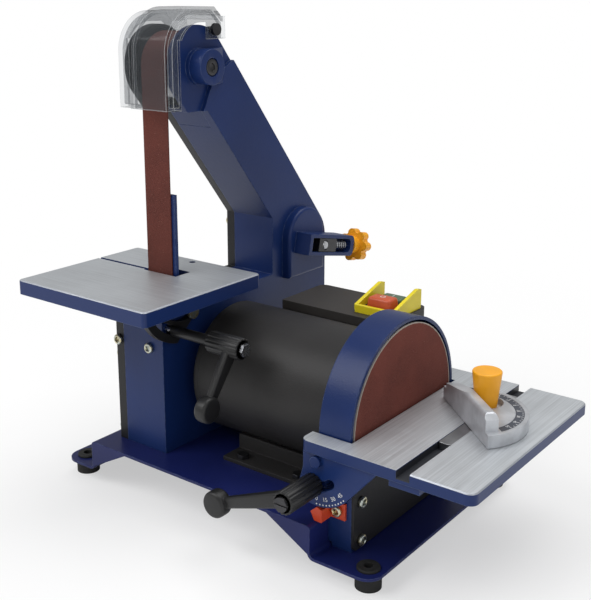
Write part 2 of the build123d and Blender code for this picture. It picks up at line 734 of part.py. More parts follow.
# Belt loop round the drive wheel, the top wheel and the rear wheel
drive_at = (motor_y, motor_z)
top_at = (top_wheel_y, top_wheel_z)
rear_at = (rear_wheel_y, rear_wheel_z)
wheels = ((drive_at, drive_radius), (top_at, top_radius), (rear_at, rear_radius))


def belt_outline(extra, plane):
    with BuildSketch(plane) as loop:
        with BuildLine() as rounds:
            for centre, radius in wheels:
                CenterArc(centre, radius + extra, 0, 360)
        make_hull(rounds.edges())
    return loop.sketch


belt_left = belt_x - belt_width / 2
belt_plane = Plane.YZ.offset(belt_left)
with BuildPart() as sanding_belt:
    extrude(belt_outline(run_gap + belt_thickness, belt_plane), amount=belt_width)
    extrude(belt_outline(run_gap, belt_plane), amount=belt_width, mode=Mode.SUBTRACT)
save(sanding_belt, "sanding_belt")
print("belt length", round(belt_outline(run_gap, belt_plane).face().outer_wire().length, 1))


def wheel_body(centre, radius, bore):
    y, z = centre
    bar_x(wheel_left, wheel_right, y, z, radius * 2)
    for face_x, depth in ((wheel_left, 9), (wheel_right - 9, 9)):
        bar_x(face_x, face_x + depth, y, z, radius * 2 - 8, Mode.SUBTRACT)
    bar_x(wheel_left, wheel_right, y, z, bore + 8)
    bar_x(wheel_left, wheel_right, y, z, bore, Mode.SUBTRACT)


with BuildPart() as drive_wheel:
    wheel_body(drive_at, drive_radius, shaft_end_diameter + 2 * slip)
save(drive_wheel, "drive_wheel")

with BuildPart() as top_wheel:
    wheel_body(top_at, top_radius, wheel_bearing_outer)
save(top_wheel, "top_wheel")

with BuildPart() as rear_wheel:
    wheel_body(rear_at, rear_radius, wheel_bearing_outer)
save(rear_wheel, "rear_wheel")


def wheel_bearing_pair(centre):
    y, z = centre
    for seat_x in (wheel_left + 2, wheel_right - 2 - wheel_bearing_width):
        bar_x(seat_x, seat_x + wheel_bearing_width, y, z, wheel_bearing_outer - 2 * slip)
    bar_x(wheel_left, wheel_right, y, z, wheel_axle + 2 * slip, Mode.SUBTRACT)


with BuildPart() as top_wheel_bearings:
    wheel_bearing_pair(top_at)
save(top_wheel_bearings, "top_wheel_bearings")

with BuildPart() as rear_wheel_bearings:
    wheel_bearing_pair(rear_at)
save(rear_wheel_bearings, "rear_wheel_bearings")

with BuildPart() as top_wheel_axle:
    bar_x(wheel_left - 5, frame_face, *top_at, wheel_axle)
    bar_x(frame_face, frame_face + 8, *top_at, 13)
    bar_x(wheel_right + run_gap, web_inner, *top_at, 12)
    with BuildSketch(Plane.YZ.offset(wheel_left - 5)):
        with Locations(top_at):
            RegularPolygon(7, 6)
    extrude(amount=5 - run_gap)
    with BuildSketch(Plane.YZ.offset(frame_face + 8)):
        with Locations(top_at):
            RegularPolygon(3.4, 6)
    extrude(amount=-4, mode=Mode.SUBTRACT)
save(top_wheel_axle, "top_wheel_axle")

# Belt frame: the cast C-shaped arm with its post, head, tension boss and lug
tension_dir = Vector(0, math.cos(math.radians(tension_angle)), math.sin(math.radians(tension_angle)))
tension_up = Vector(0, -tension_dir.Z, tension_dir.Y)


def along(s, t):
    point = Vector(0, *rear_at) + tension_dir * s + tension_up * t
    return (point.Y, point.Z)


def slab(s0, s1, half, x0, x1, mode=Mode.ADD, end_round=0):
    with BuildSketch(Plane.YZ.offset(x0)) as face:
        with BuildLine():
            Polyline(along(s0, -half), along(s1, -half), along(s1, half), along(s0, half), close=True)
        make_face()
        if end_round:
            outward = Axis((0, 0, 0), (tension_dir.Y, tension_dir.Z, 0))
            fillet(face.vertices().sort_by(outward)[-2:], radius=end_round)
    extrude(face.sketch, amount=x1 - x0, mode=mode)


post_chamfer = 8.0


def frame_outline(plane, inset):
    with BuildSketch(plane) as outline:
        with BuildLine() as rounds:
            CenterArc(top_at, head_radius_out, 0, 360)
            CenterArc(rear_at, rear_radius_out, 0, 360)
        make_hull(rounds.edges())
        with BuildLine():
            Polyline(
                (frame_front, base_top),
                (frame_front, frame_floor_z - post_chamfer),
                (frame_front + post_chamfer, frame_floor_z),
                (throat_y, frame_floor_z),
                (throat_y, throat_knee_z),
                (frame_back, rear_wheel_z),
                (frame_back, base_top + 50),
                (frame_back - 44, base_top),
                close=True,
            )
        make_face()
        with BuildLine():
            Polyline(
                (-130, frame_floor_z),
                (throat_y - 10, frame_floor_z),
                (throat_y, frame_floor_z + 10),
                (throat_y, throat_knee_z),
                (head_bottom_y, head_bottom_z),
                (-130, head_bottom_z),
                close=True,
            )
        make_face(mode=Mode.SUBTRACT)
        if inset:
            offset(amount=-inset, kind=Kind.INTERSECTION, mode=Mode.REPLACE)
    return outline.sketch


def trim_head():
    block(
        cover_left - 1, frame_face + 1, guard_front - head_radius_out, guard_front + guard_sheet + run_gap,
        head_bottom_z - 1, guard_top, Mode.SUBTRACT,
    )


boss_width = 10.0
arm_boss_share = 0.4
post_boss_y = frame_front + frame_wall + boss_width / 2 - 1
throat_boss_y = throat_y + frame_wall + boss_width / 2 - 1
cover_bosses = (
    (post_boss_y, base_top + 8),
    (post_boss_y, 104.0),
    (82.0, base_top + 14),
    (throat_boss_y, throat_knee_z - 10),
    tuple(a + arm_boss_share * (b - a) for a, b in zip(top_at, rear_at)),
)
platen_back = belt_back_y + run_gap + platen_thickness
platen_screw_zs = (130.0, 140.0)
post_screw_xs = (frame_open - cover_depth / 2, frame_face - 13.5)
post_screw_z = 118.0
platen_left = belt_left - 1
platen_right = belt_x + belt_width / 2 + 3
guide_at = around((belt_tilt_y, belt_tilt_z), guide_radius, guide_angle)
guard_screw_at = (top_wheel_y + 14.7, top_wheel_z + 26.4)
with BuildPart() as belt_frame:
    extrude(frame_outline(Plane.YZ.offset(frame_open), 0), amount=frame_face - frame_open)
    extrude(
        frame_outline(Plane.YZ.offset(frame_open), frame_wall),
        amount=web_inner - frame_open, mode=Mode.SUBTRACT,
    )
    # Head: open round the wheel under the clear guard, face set back round the boss
    trim_head()
    block(
        frame_open, web_inner, guard_front - head_radius_out, guard_screw_at[0] + 10,
        head_bottom_z - 14, guard_top, Mode.SUBTRACT,
    )
    with BuildSketch(Plane.YZ.offset(frame_face - head_recess)):
        with BuildLine():
            Polyline(
                (top_wheel_y - 60, top_wheel_z - 44), (top_wheel_y - 60, top_wheel_z + 66),
                (top_wheel_y + 50, top_wheel_z + 66), (top_wheel_y + 50, top_wheel_z + 10),
                (top_wheel_y + 14, top_wheel_z - 8), (top_wheel_y - 4, top_wheel_z - 44), close=True,
            )
        make_face()
        with Locations(top_at):
            Circle(boss_diameter / 2, mode=Mode.SUBTRACT)
    extrude(amount=head_recess, mode=Mode.SUBTRACT)
    # Slot in the lower body's top for the belt and platen
    block(frame_open, web_inner, belt_front_y - 5, platen_back + 6, frame_floor_z - 6, frame_floor_z + 1,
          Mode.SUBTRACT)
    # Platen seat
    block(
        platen_right - 16, web_inner + 1, platen_back, platen_back + 8,
        platen_bottom + 1, frame_floor_z - 3,
    )
    # Screw bosses for the side cover and bolt bosses on the bottom
    for boss_y, boss_z in cover_bosses:
        bar_x(frame_open, web_inner + 1, boss_y, boss_z, boss_width)
        bar_x(frame_open, frame_open + 14, boss_y, boss_z, 4.2, Mode.SUBTRACT)
    for bolt_y in frame_bolt_ys:
        bar_z(belt_x, bolt_y, base_top, base_top + 12, 14)
        bar_z(belt_x, bolt_y, base_top - 1, base_top + 13, 6.4, Mode.SUBTRACT)
    # Raised tension boss with its lug
    with BuildSketch(Plane.YZ.offset(frame_face)):
        with Locations(along(-8, 6)):
            Circle(tension_boss_half)
        with Locations((along(-8, 6)[0], (along(-8, 6)[1] + box_top) / 2)):
            Rectangle(tension_boss_half * 2, along(-8, 6)[1] - box_top)
    extrude(amount=tension_boss_height)
    fillet(belt_frame.faces().sort_by(Axis.X)[-1].outer_wire().edges(), radius=2.5)
    slab(-24, lug_length, lug_height / 2, lug_face - 4, lug_open, end_round=5)
    slab(-20, lug_length - 5, pocket_half, lug_face, lug_open, Mode.SUBTRACT, end_round=4)
    with BuildSketch(Plane.YZ.offset(web_inner - 1)):
        with Locations(Location((*along(-slide_travel / 2, 0), 0), (0, 0, tension_angle))):
            SlotCenterToCenter(slide_travel + 1, wheel_axle + 0.8)
    extrude(amount=lug_face - web_inner + 2, mode=Mode.SUBTRACT)
    with Locations(Plane((lug_face + lug_depth / 2, *along(lug_length - 8, 0)), z_dir=tension_dir)):
        Cylinder(rod_diameter / 2 + 0.3, 12, align=low, mode=Mode.SUBTRACT)
    # Holes for the shaft, the wheel bolt, the tilt clamp, the guide screw and the guard screw
    bar_x(web_inner - 1, frame_face + 1, *drive_at, shaft_diameter + 6, Mode.SUBTRACT)
    bar_x(web_inner - 1, frame_face + 1, *top_at, wheel_axle + 2 * slip, Mode.SUBTRACT)
    bar_x(web_inner - 1, frame_face + 1, belt_clamp_y, belt_clamp_z, screw_diameter + 2 * slip, Mode.SUBTRACT)
    bar_x(web_inner - 1, frame_face + 1, *guide_at, screw_diameter + 2 * slip, Mode.SUBTRACT)
    bar_x(web_inner - 1, frame_face + 1, *guard_screw_at, 4.2, Mode.SUBTRACT)
    for screw_z in platen_screw_zs:
        bar_y(platen_right - 8, platen_back - 1, platen_back + 10, screw_z, 4.2, Mode.SUBTRACT)
    bar_y(post_screw_xs[1], frame_front - 1, frame_front + 6, post_screw_z, 4.2, Mode.SUBTRACT)
save(belt_frame, "belt_frame")


def bolt_with_nut(x, y, head_z, nut_z, diameter):
    bar_z(x, y, nut_z - 6, head_z, diameter)
    for face_z, height in ((head_z, 3.5), (nut_z - 4, 4)):
        with BuildSketch(Plane.XY.offset(face_z)) as hexagon:
            with Locations((x, y)):
                RegularPolygon(diameter * 0.92, 6)
        extrude(hexagon.sketch, amount=height)


with BuildPart() as base_bolts:
    for saddle_x in saddle_xs:
        for saddle_y in saddle_ys:
            bolt_with_nut(saddle_x, saddle_y, base_top + saddle_foot, base_top - sheet, 5)
    for screw_y in housing_screw_ys:
        bolt_with_nut(housing_screw_x, screw_y, foot_plate_top + housing_wall, foot_height, 5)
    for bolt_y in frame_bolt_ys:
        bolt_with_nut(belt_x, bolt_y, base_top + 12, base_top - sheet, 6)
save(base_bolts, "base_bolts")

# Black side cover over the belt
with BuildPart() as belt_cover:
    extrude(frame_outline(Plane.YZ.offset(cover_left), 0), amount=cover_depth)
    chamfer(belt_cover.faces().sort_by(Axis.X)[0].outer_wire().edges(), length=2)
    extrude(
        frame_outline(Plane.YZ.offset(cover_left + cover_wall), cover_wall),
        amount=cover_depth, mode=Mode.SUBTRACT,
    )
    trim_head()
    for boss_y, boss_z in cover_bosses:
        bar_x(cover_left, frame_open, boss_y, boss_z, boss_width)
        bar_x(cover_left, frame_open, boss_y, boss_z, 4.4, Mode.SUBTRACT)
    bar_y(post_screw_xs[0], frame_front - 1, frame_front + 6, post_screw_z, 4.2, Mode.SUBTRACT)
save(belt_cover, "belt_cover")

# Platen behind the belt
with BuildPart() as platen:
    block(platen_left, platen_right, belt_back_y + run_gap, platen_back, platen_bottom, platen_top)
    fillet(platen.edges().filter_by(Axis.X).group_by(Axis.Z)[-1].group_by(Axis.Y)[0], radius=2)
    for screw_z in platen_screw_zs:
        bar_y(platen_right - 8, platen_back - 2, platen_back + 1, screw_z, 4.2, Mode.SUBTRACT)
save(platen, "platen")

screw_shank = 4.0
screw_head = 8.0
head_height = 2.5
with BuildPart() as belt_side_screws:
    for boss_y, boss_z in cover_bosses:
        bar_x(cover_left, frame_open + 12, boss_y, boss_z, screw_shank)
        bar_x(cover_left - head_height, cover_left, boss_y, boss_z, screw_head)
    for screw_x in post_screw_xs:
        bar_y(screw_x, frame_front - head_height, frame_front, post_screw_z, screw_head)
        bar_y(screw_x, frame_front, frame_front + cover_wall, post_screw_z, screw_shank)
    for screw_z in platen_screw_zs:
        bar_y(platen_right - 8, platen_back - 1.8, platen_back + 8, screw_z, screw_shank)
        bar_y(platen_right - 8, platen_back + 8, platen_back + 8 + head_height, screw_z, screw_head - 1)
save(belt_side_screws, "belt_side_screws")

with BuildPart() as disc_side_screws:
    head_x = cover_x + lower_cover_sheet
    for screw_z in cover_screw_zs:
        for screw_y in (front_screw_y, rear_screw_y):
            bar_x(cover_x - 10, head_x, screw_y, screw_z, screw_shank)
            bar_x(head_x, head_x + head_height, screw_y, screw_z, screw_head)
    bar_y(pointer_x, housing_front_y - 2, housing_front_y + 4, pointer_z, screw_shank)
    bar_y(pointer_x, housing_front_y - 2 - head_height, housing_front_y - 2, pointer_z, screw_head)
save(disc_side_screws, "disc_side_screws")

# Belt tension: slide in the lug, axle, threaded rod, spring, washer and star knob
slide_end = 16.0
lug_mid = lug_face + lug_depth / 2
rod_start = wheel_axle / 2 + 0.5
spring_start = slide_end + run_gap
spring_end = lug_length - 5 - run_gap
spring_radius = 4.5
spring_wire = 0.7
spring_turns = 6
knob_start = lug_length + 2.0


def rod_plane(s):
    return Plane((lug_mid, *along(s, 0)), x_dir=(1, 0, 0), z_dir=tension_dir)


with BuildPart() as tension_slide:
    slab(-9, slide_end, pocket_half - run_gap, lug_face + run_gap, lug_open - 1)
    bar_x(lug_face, lug_open, *rear_at, wheel_axle + 2 * slip, Mode.SUBTRACT)
    with BuildSketch(rod_plane(wheel_axle / 2)):
        Circle(rod_diameter / 2 + slip)
    extrude(amount=slide_end, mode=Mode.SUBTRACT)
save(tension_slide, "tension_slide")

with BuildPart() as rear_wheel_axle:
    bar_x(wheel_left - 5, lug_open - 0.5, *rear_at, wheel_axle)
    chamfer(rear_wheel_axle.edges().filter_by(GeomType.CIRCLE).group_by(Axis.X)[-1], length=1)
    bar_x(wheel_right + run_gap, web_inner - run_gap, *rear_at, 12)
    with BuildSketch(Plane.YZ.offset(wheel_left - 5)):
        with Locations(rear_at):
            RegularPolygon(7, 6)
    extrude(amount=5 - run_gap)
save(rear_wheel_axle, "rear_wheel_axle")

with BuildPart() as tension_rod:
    with BuildSketch(rod_plane(rod_start)):
        Circle(rod_diameter / 2)
    extrude(amount=knob_start + 11 - rod_start)
save(tension_rod, "tension_rod")

with BuildPart() as tension_washer:
    with BuildSketch(rod_plane(lug_length)):
        Circle(5.5)
        Circle(rod_diameter / 2 + run_gap, mode=Mode.SUBTRACT)
    extrude(amount=knob_start - lug_length - run_gap)
save(tension_washer, "tension_washer")

knob_hub = 8.0
star_thickness = 9.0
star_start = knob_start + knob_hub
with BuildPart() as tension_knob:
    with BuildSketch(rod_plane(star_start)):
        Circle(11.5)
        with PolarLocations(10.8, 7):
            Circle(4)
    extrude(amount=star_thickness)
    fillet(tension_knob.faces().sort_by(Axis((0, 0, 0), tension_dir))[-1].outer_wire().edges(), radius=1.2)
    with BuildSketch(rod_plane(knob_start)):
        Circle(8)
    extrude(amount=knob_hub)
    with BuildSketch(rod_plane(knob_start)):
        Circle(rod_diameter / 2 + slip)
    extrude(amount=knob_hub + 4, mode=Mode.SUBTRACT)
save(tension_knob, "tension_knob")

# Spring: quarter turns, each drawn as two tangent arcs
spring_pitch = (spring_end - spring_start - 2 * spring_wire) / spring_turns


def spring_point(quarter):
    angle = quarter * math.pi / 2
    rise = spring_start + spring_wire + spring_pitch * quarter / 4
    y, z = along(rise, spring_radius * math.sin(angle))
    return Vector(lug_mid + spring_radius * math.cos(angle), y, z)


def spring_tangent(quarter):
    angle = quarter * math.pi / 2
    swing = Vector(-math.sin(angle), 0, 0) + tension_up * math.cos(angle)
    return (swing * spring_radius + tension_dir * (spring_pitch / (2 * math.pi))).normalized()


def biarc(quarter):
    first, last = spring_point(quarter), spring_point(quarter + 1)
    out, back = spring_tangent(quarter), spring_tangent(quarter + 1)
    gap = last - first
    lean = gap.dot(out + back)
    spread = 2 * (1 - out.dot(back))
    reach = (-lean + math.sqrt(lean * lean + spread * gap.dot(gap))) / spread
    middle = (first + last + (out - back) * reach) * 0.5
    turn = (last - back * reach - first - out * reach).normalized()
    TangentArc(first, middle, tangent=out)
    TangentArc(middle, last, tangent=turn)


with BuildPart() as tension_spring:
    with BuildLine() as coil:
        for quarter in range(spring_turns * 4):
            biarc(quarter)
    with BuildSketch(Plane(spring_point(0), z_dir=spring_tangent(0))):
        Circle(spring_wire)
    sweep(path=coil.wire())
save(tension_spring, "tension_spring")
print("spring gap between turns", round(spring_pitch - 2 * spring_wire, 2))

# Clear guard over the head: stepped fender with side lips and a screw tab
guard_right = frame_face
guard_bend = 30.0
guard_end_y = guard_screw_at[0] + 12
guard_end_z = guard_top - 20


def guard_region(plane, grow):
    with BuildSketch(plane) as region:
        with BuildLine():
            Polyline(
                (guard_end_y, guard_end_z),
                (guard_end_y, guard_top - 8),
                (guard_end_y - 8, guard_top),
                (guard_front + guard_bend, guard_top),
            )
            ThreePointArc(
                (guard_front + guard_bend, guard_top),
                around((guard_front + guard_bend, guard_top - guard_bend), guard_bend, 135),
                (guard_front, guard_top - guard_bend),
            )
            Polyline(
                (guard_front, guard_top - guard_bend),
                (guard_front, guard_bottom),
                (guard_end_y, guard_bottom),
                (guard_end_y, guard_end_z),
            )
        make_face()
        if grow:
            offset(amount=grow, kind=Kind.INTERSECTION, mode=Mode.REPLACE)
        with Locations((guard_end_y - 100, guard_bottom)):
            Rectangle(200, 400, align=(Align.CENTER, Align.MIN), mode=Mode.INTERSECT)
    return region.sketch


step_left = belt_left - 4
step_right = belt_x + belt_width / 2 + 7
with BuildPart() as belt_guard:
    extrude(guard_region(Plane.YZ.offset(guard_left), 0), amount=guard_right - guard_left)
    extrude(guard_region(Plane.YZ.offset(step_left), guard_step), amount=step_right - step_left)
    extrude(
        guard_region(Plane.YZ.offset(guard_left + guard_sheet), -guard_sheet),
        amount=guard_right - guard_left - 2 * guard_sheet, mode=Mode.SUBTRACT,
    )
    extrude(
        guard_region(Plane.YZ.offset(step_left + guard_sheet), guard_step - guard_sheet),
        amount=step_right - step_left - 2 * guard_sheet, mode=Mode.SUBTRACT,
    )
    extrude(
        guard_region(Plane.YZ.offset(guard_left), -guard_lip),
        amount=guard_right - guard_left, mode=Mode.SUBTRACT,
    )
    block(guard_left - 1, guard_right + 1, guard_front + guard_lip, 60, guard_bottom - 1, guard_end_z,
          Mode.SUBTRACT)
    block(guard_right - guard_sheet, guard_right, guard_screw_at[0] - 7, guard_end_y,
          guard_screw_at[1] - 7, guard_top - 4)
    bar_x(guard_right - 4, guard_right + 1, *guard_screw_at, 4.4, Mode.SUBTRACT)
save(belt_guard, "belt_guard")

with BuildPart() as guard_screw:
    bar_x(web_inner + 1, guard_right, *guard_screw_at, 4)
    bar_x(guard_right, guard_right + 3, *guard_screw_at, 9)
save(guard_screw, "guard_screw")

# Belt table: ground plate with a skirt, the belt opening and its slit
slit_width = 3.0
opening_front = belt_front_y - 2.7
tilt_turn = math.radians(tilt_range)
opening_back = (
    belt_tilt_y + (platen_back - belt_tilt_y + 2 * run_gap) / math.cos(tilt_turn)
    + (belt_table_top - belt_tilt_z) * math.tan(tilt_turn)
)
opening_left = belt_left - 2.5
opening_right = platen_right + 3
plate_bottom = belt_table_top - belt_table_plate
with BuildPart() as belt_table:
    block(
        belt_table_left, belt_table_right, belt_table_front, belt_table_back,
        belt_table_top - belt_table_skirt, belt_table_top,
    )
    fillet(belt_table.edges().filter_by(Axis.Z), radius=3)
    block(
        belt_table_left + belt_table_wall, belt_table_right - belt_table_wall,
        belt_table_front + belt_table_wall, belt_table_back - belt_table_wall,
        belt_table_top - belt_table_skirt - 1, plate_bottom, Mode.SUBTRACT,
    )
    chamfer(belt_table.faces().sort_by(Axis.Z)[-1].outer_wire().edges(), length=0.8)
    block(opening_left, opening_right, opening_front, opening_back,
          plate_bottom - 1, belt_table_top + 1, Mode.SUBTRACT)
    block(
        belt_table_left - 1, opening_left + 1,
        belt_front_y - 1, belt_front_y - 1 + slit_width,
        belt_table_top - belt_table_skirt - 1, belt_table_top + 1, Mode.SUBTRACT,
    )
    bar_z(belt_x, belt_table_back - 7, plate_bottom - 1, belt_table_top + 1, 5, Mode.SUBTRACT)
    for screw_y in (belt_tilt_y - bracket_screw_set, belt_tilt_y + bracket_screw_set):
        bar_z(bracket_right + 12, screw_y, plate_bottom - 1, plate_bottom + 3, 4.2, Mode.SUBTRACT)
save(belt_table, "belt_table")

# Tilt bracket: flange under the table and a sector with two curved slots
flange = 5.0
tilt_at = (belt_tilt_y, belt_tilt_z)
flange_z = plate_bottom - flange
with BuildPart() as bracket:
    block(
        bracket_left, bracket_right + 20, belt_tilt_y - bracket_radius + 3, belt_tilt_y + 36,
        flange_z, plate_bottom,
    )
    with BuildSketch(Plane.YZ.offset(bracket_left)):
        with BuildLine():
            RadiusArc(
                around(tilt_at, bracket_radius, 192), around(tilt_at, bracket_radius, 260), -bracket_radius
            )
            Polyline(
                around(tilt_at, bracket_radius, 260),
                (belt_tilt_y + 18, flange_z - 14),
                (belt_tilt_y + 22, flange_z + 1),
                (around(tilt_at, bracket_radius, 192)[0], flange_z + 1),
                around(tilt_at, bracket_radius, 192),
            )
        make_face()
    extrude(amount=bracket_thickness)
    with BuildSketch(Plane.YZ.offset(bracket_left)):
        with BuildLine() as clamp_arc:
            CenterArc(tilt_at, clamp_radius, clamp_angle + 2, -tilt_range - 4)
        SlotArc(clamp_arc.edge(), screw_diameter + 0.8)
    extrude(amount=bracket_thickness, mode=Mode.SUBTRACT)
    with BuildSketch(Plane.YZ.offset(bracket_left)):
        with BuildLine() as guide_arc:
            CenterArc(tilt_at, guide_radius, guide_angle + 2, -tilt_range - 4)
        SlotArc(guide_arc.edge(), screw_diameter + 0.8)
    extrude(amount=bracket_thickness, mode=Mode.SUBTRACT)
    for screw_y in (belt_tilt_y - bracket_screw_set, belt_tilt_y + bracket_screw_set):
        bar_z(bracket_right + 12, screw_y, flange_z - 1, plate_bottom + 1, 4.4, Mode.SUBTRACT)
save(bracket, "belt_table_bracket")

with BuildPart() as bracket_screws:
    for screw_y in (belt_tilt_y - bracket_screw_set, belt_tilt_y + bracket_screw_set):
        bar_z(bracket_right + 12, screw_y, flange_z, plate_bottom + 2.8, 4)
        bar_z(bracket_right + 12, screw_y, flange_z - 2.5, flange_z, 8)
save(bracket_screws, "bracket_screws")

with BuildPart() as guide_screw:
    bar_x(web_inner, bracket_right + run_gap, *guide_at, screw_diameter)
    bar_x(bracket_right + run_gap, bracket_right + run_gap + 3, *guide_at, 10)
save(guide_screw, "tilt_guide_screw")

hub_right = hub_left + hub_length
with BuildPart() as clamp_rod:
    bar_x(web_inner, hub_right + 2.5, belt_clamp_y, belt_clamp_z, screw_diameter)
    with BuildSketch(Plane.YZ.offset(hub_right + run_gap)):
        with Locations((belt_clamp_y, belt_clamp_z)):
            RegularPolygon(5, 6)
    extrude(amount=3)
save(clamp_rod, "belt_clamp_rod")

lever_lean = math.atan2(-38, -26)
paddle_at = (
    belt_clamp_y + lever_reach * math.cos(lever_lean),
    belt_clamp_z + lever_reach * math.sin(lever_lean),
)
arm_left = hub_left + 15
arm_right = hub_left + 22
sleeve = 8.0
with BuildPart() as belt_lever:
    bar_x(hub_left, hub_right, belt_clamp_y, belt_clamp_z, hub_diameter)
    with BuildSketch(Plane.YZ.offset(hub_left)):
        with Locations((belt_clamp_y, belt_clamp_z)):
            with PolarLocations(hub_diameter / 2 + 0.6, 10):
                Circle(1.6)
    extrude(amount=hub_length, mode=Mode.SUBTRACT)
    bar_x(bracket_right + run_gap, hub_left, belt_clamp_y, belt_clamp_z, sleeve)
    with BuildSketch(Plane.YZ.offset(arm_left)):
        with BuildLine():
            Polyline(
                (belt_clamp_y - 5.4, belt_clamp_z + 2.6),
                (paddle_at[0] - 3, paddle_at[1] + 1.5),
                (paddle_at[0] + 3, paddle_at[1] - 1.5),
                (belt_clamp_y + 5.4, belt_clamp_z - 2.6),
                close=True,
            )
        make_face()
    extrude(amount=arm_right - arm_left)
    bar_x(arm_left - 1.5, arm_right + 1.5, *paddle_at, paddle_diameter)
    bar_x(bracket_right, hub_right, belt_clamp_y, belt_clamp_z, screw_diameter + 2 * slip, Mode.SUBTRACT)
save(belt_lever, "belt_table_lever")

# Switch box behind the motor with its bezel, switch, buttons, capacitor and gland
switch_left = bezel_left + 4
switch_right = bezel_left + bezel_width - 4
switch_front = bezel_front + 4
switch_back = bezel_front + bezel_depth - 4
switch_top = box_top + 4
switch_floor = motor_z + math.sqrt(motor_radius**2 - (switch_front - motor_y) ** 2) + 3
gland_x = 10.0
gland_z = 100.0
with BuildPart() as switch_box:
    block(box_left, box_right, box_front, box_back, base_top, box_top)
    fillet(switch_box.edges().filter_by(Axis.Z).group_by(Axis.Y)[-1], radius=6)
    bar_x(box_left - 1, box_right + 1, motor_y, motor_z, motor_diameter + 2, Mode.SUBTRACT)
    block(
        box_left - 1, box_right + 1, box_front - 1, motor_y + motor_radius + 1,
        base_top - 1, motor_z, Mode.SUBTRACT,
    )
    block(
        box_left + box_wall, box_right - box_wall, motor_y + motor_radius + 1 + box_wall,
        box_back - box_wall, base_top - 1, box_top - box_wall, Mode.SUBTRACT,
    )
    block(
        switch_left, switch_right, switch_front, switch_back,
        switch_floor - rest_gap, box_top + 1, Mode.SUBTRACT,
    )
    bar_y(gland_x, box_back - 4, box_back + 1, gland_z, 12.2, Mode.SUBTRACT)
save(switch_box, "switch_box")

with BuildPart() as bezel:
    block(bezel_left, bezel_left + bezel_width, bezel_front, bezel_front + bezel_depth, box_top, box_top + 3)
    fillet(bezel.edges().filter_by(Axis.Z), radius=2)
    block(bezel_left + 1, bezel_left + bezel_width - 1, bezel_front, bezel_front + 3, box_top, box_top + 6)
    for guard_x in (bezel_left, bezel_left + bezel_width - 3):
        with BuildSketch(Plane.YZ.offset(guard_x)):
            with BuildLine():
                Polyline(
                    (bezel_front + 1, box_top + 2),
                    (bezel_front + bezel_depth - 1, box_top + 2),
                    (bezel_front + bezel_depth - 1, box_top + 15),
                    (bezel_front + bezel_depth - 6, box_top + 16),
                    (bezel_front + 1, box_top + 6),
                    close=True,
                )
            make_face()
        extrude(amount=3)
    block(switch_left, switch_right, switch_front, switch_back, box_top - 1, box_top + 20, Mode.SUBTRACT)
save(bezel, "switch_bezel")

stop_front = switch_front + 1.7
stop_back = stop_front + 14
start_front = stop_back + 1.8
start_back = switch_back - 1.7
key_left = switch_left + 3
key_right = switch_right - 3
key_bottom = switch_top - 3
with BuildPart() as switch_body:
    block(
        switch_left + rest_gap, switch_right - rest_gap, switch_front + rest_gap, switch_back - rest_gap,
        switch_floor, switch_top,
    )
    for key_front, key_back in ((stop_front, stop_back), (start_front, start_back)):
        block(
            key_left - run_gap, key_right + run_gap, key_front - run_gap, key_back + run_gap,
            key_bottom - button_travel - run_gap, switch_top + 1, Mode.SUBTRACT,
        )
save(switch_body, "switch_body")

with BuildPart() as stop_button:
    block(key_left, key_right, stop_front, stop_back, key_bottom, box_top + 12)
    fillet(stop_button.edges().group_by(Axis.Z)[-1], radius=1.5)
save(stop_button, "stop_button")

with BuildPart() as start_button:
    block(key_left, key_right, start_front, start_back, key_bottom, box_top + 9)
    fillet(start_button.edges().group_by(Axis.Z)[-1], radius=1.5)
save(start_button, "start_button")

capacitor_diameter = box_room - 2 * box_wall - 2
capacitor_y = (motor_y + motor_radius + 1 + box_back) / 2
with BuildPart() as capacitor:
    bar_x(box_left + 12, box_right - 12, capacitor_y, base_top + capacitor_diameter / 2, capacitor_diameter)
    fillet(capacitor.edges().filter_by(GeomType.CIRCLE), radius=3)
save(capacitor, "run_capacitor")

with BuildPart() as cable_gland:
    bar_y(gland_x, box_back - box_wall - 4, box_back, gland_z, 12)
    with BuildSketch(Plane.XZ.offset(-box_back - 6)):
        with Locations((gland_x, gland_z)):
            RegularPolygon(10, 6)
    extrude(amount=6)
    bar_y(gland_x, box_back + 6, box_back + 15, gland_z, 16)
    fillet(cable_gland.edges().filter_by(GeomType.CIRCLE).group_by(Axis.Y)[-1], radius=3)
    bar_y(gland_x, box_back - 12, box_back + 16, gland_z, 7, Mode.SUBTRACT)
save(cable_gland, "cable_gland")
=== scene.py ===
"""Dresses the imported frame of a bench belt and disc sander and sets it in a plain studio."""

from __future__ import annotations

import logging
import math
from dataclasses import dataclass, field
from enum import Enum
from typing import Any, Callable, Dict, List, Optional, Sequence, Tuple, Union

import bpy
from mathutils import Matrix, Vector

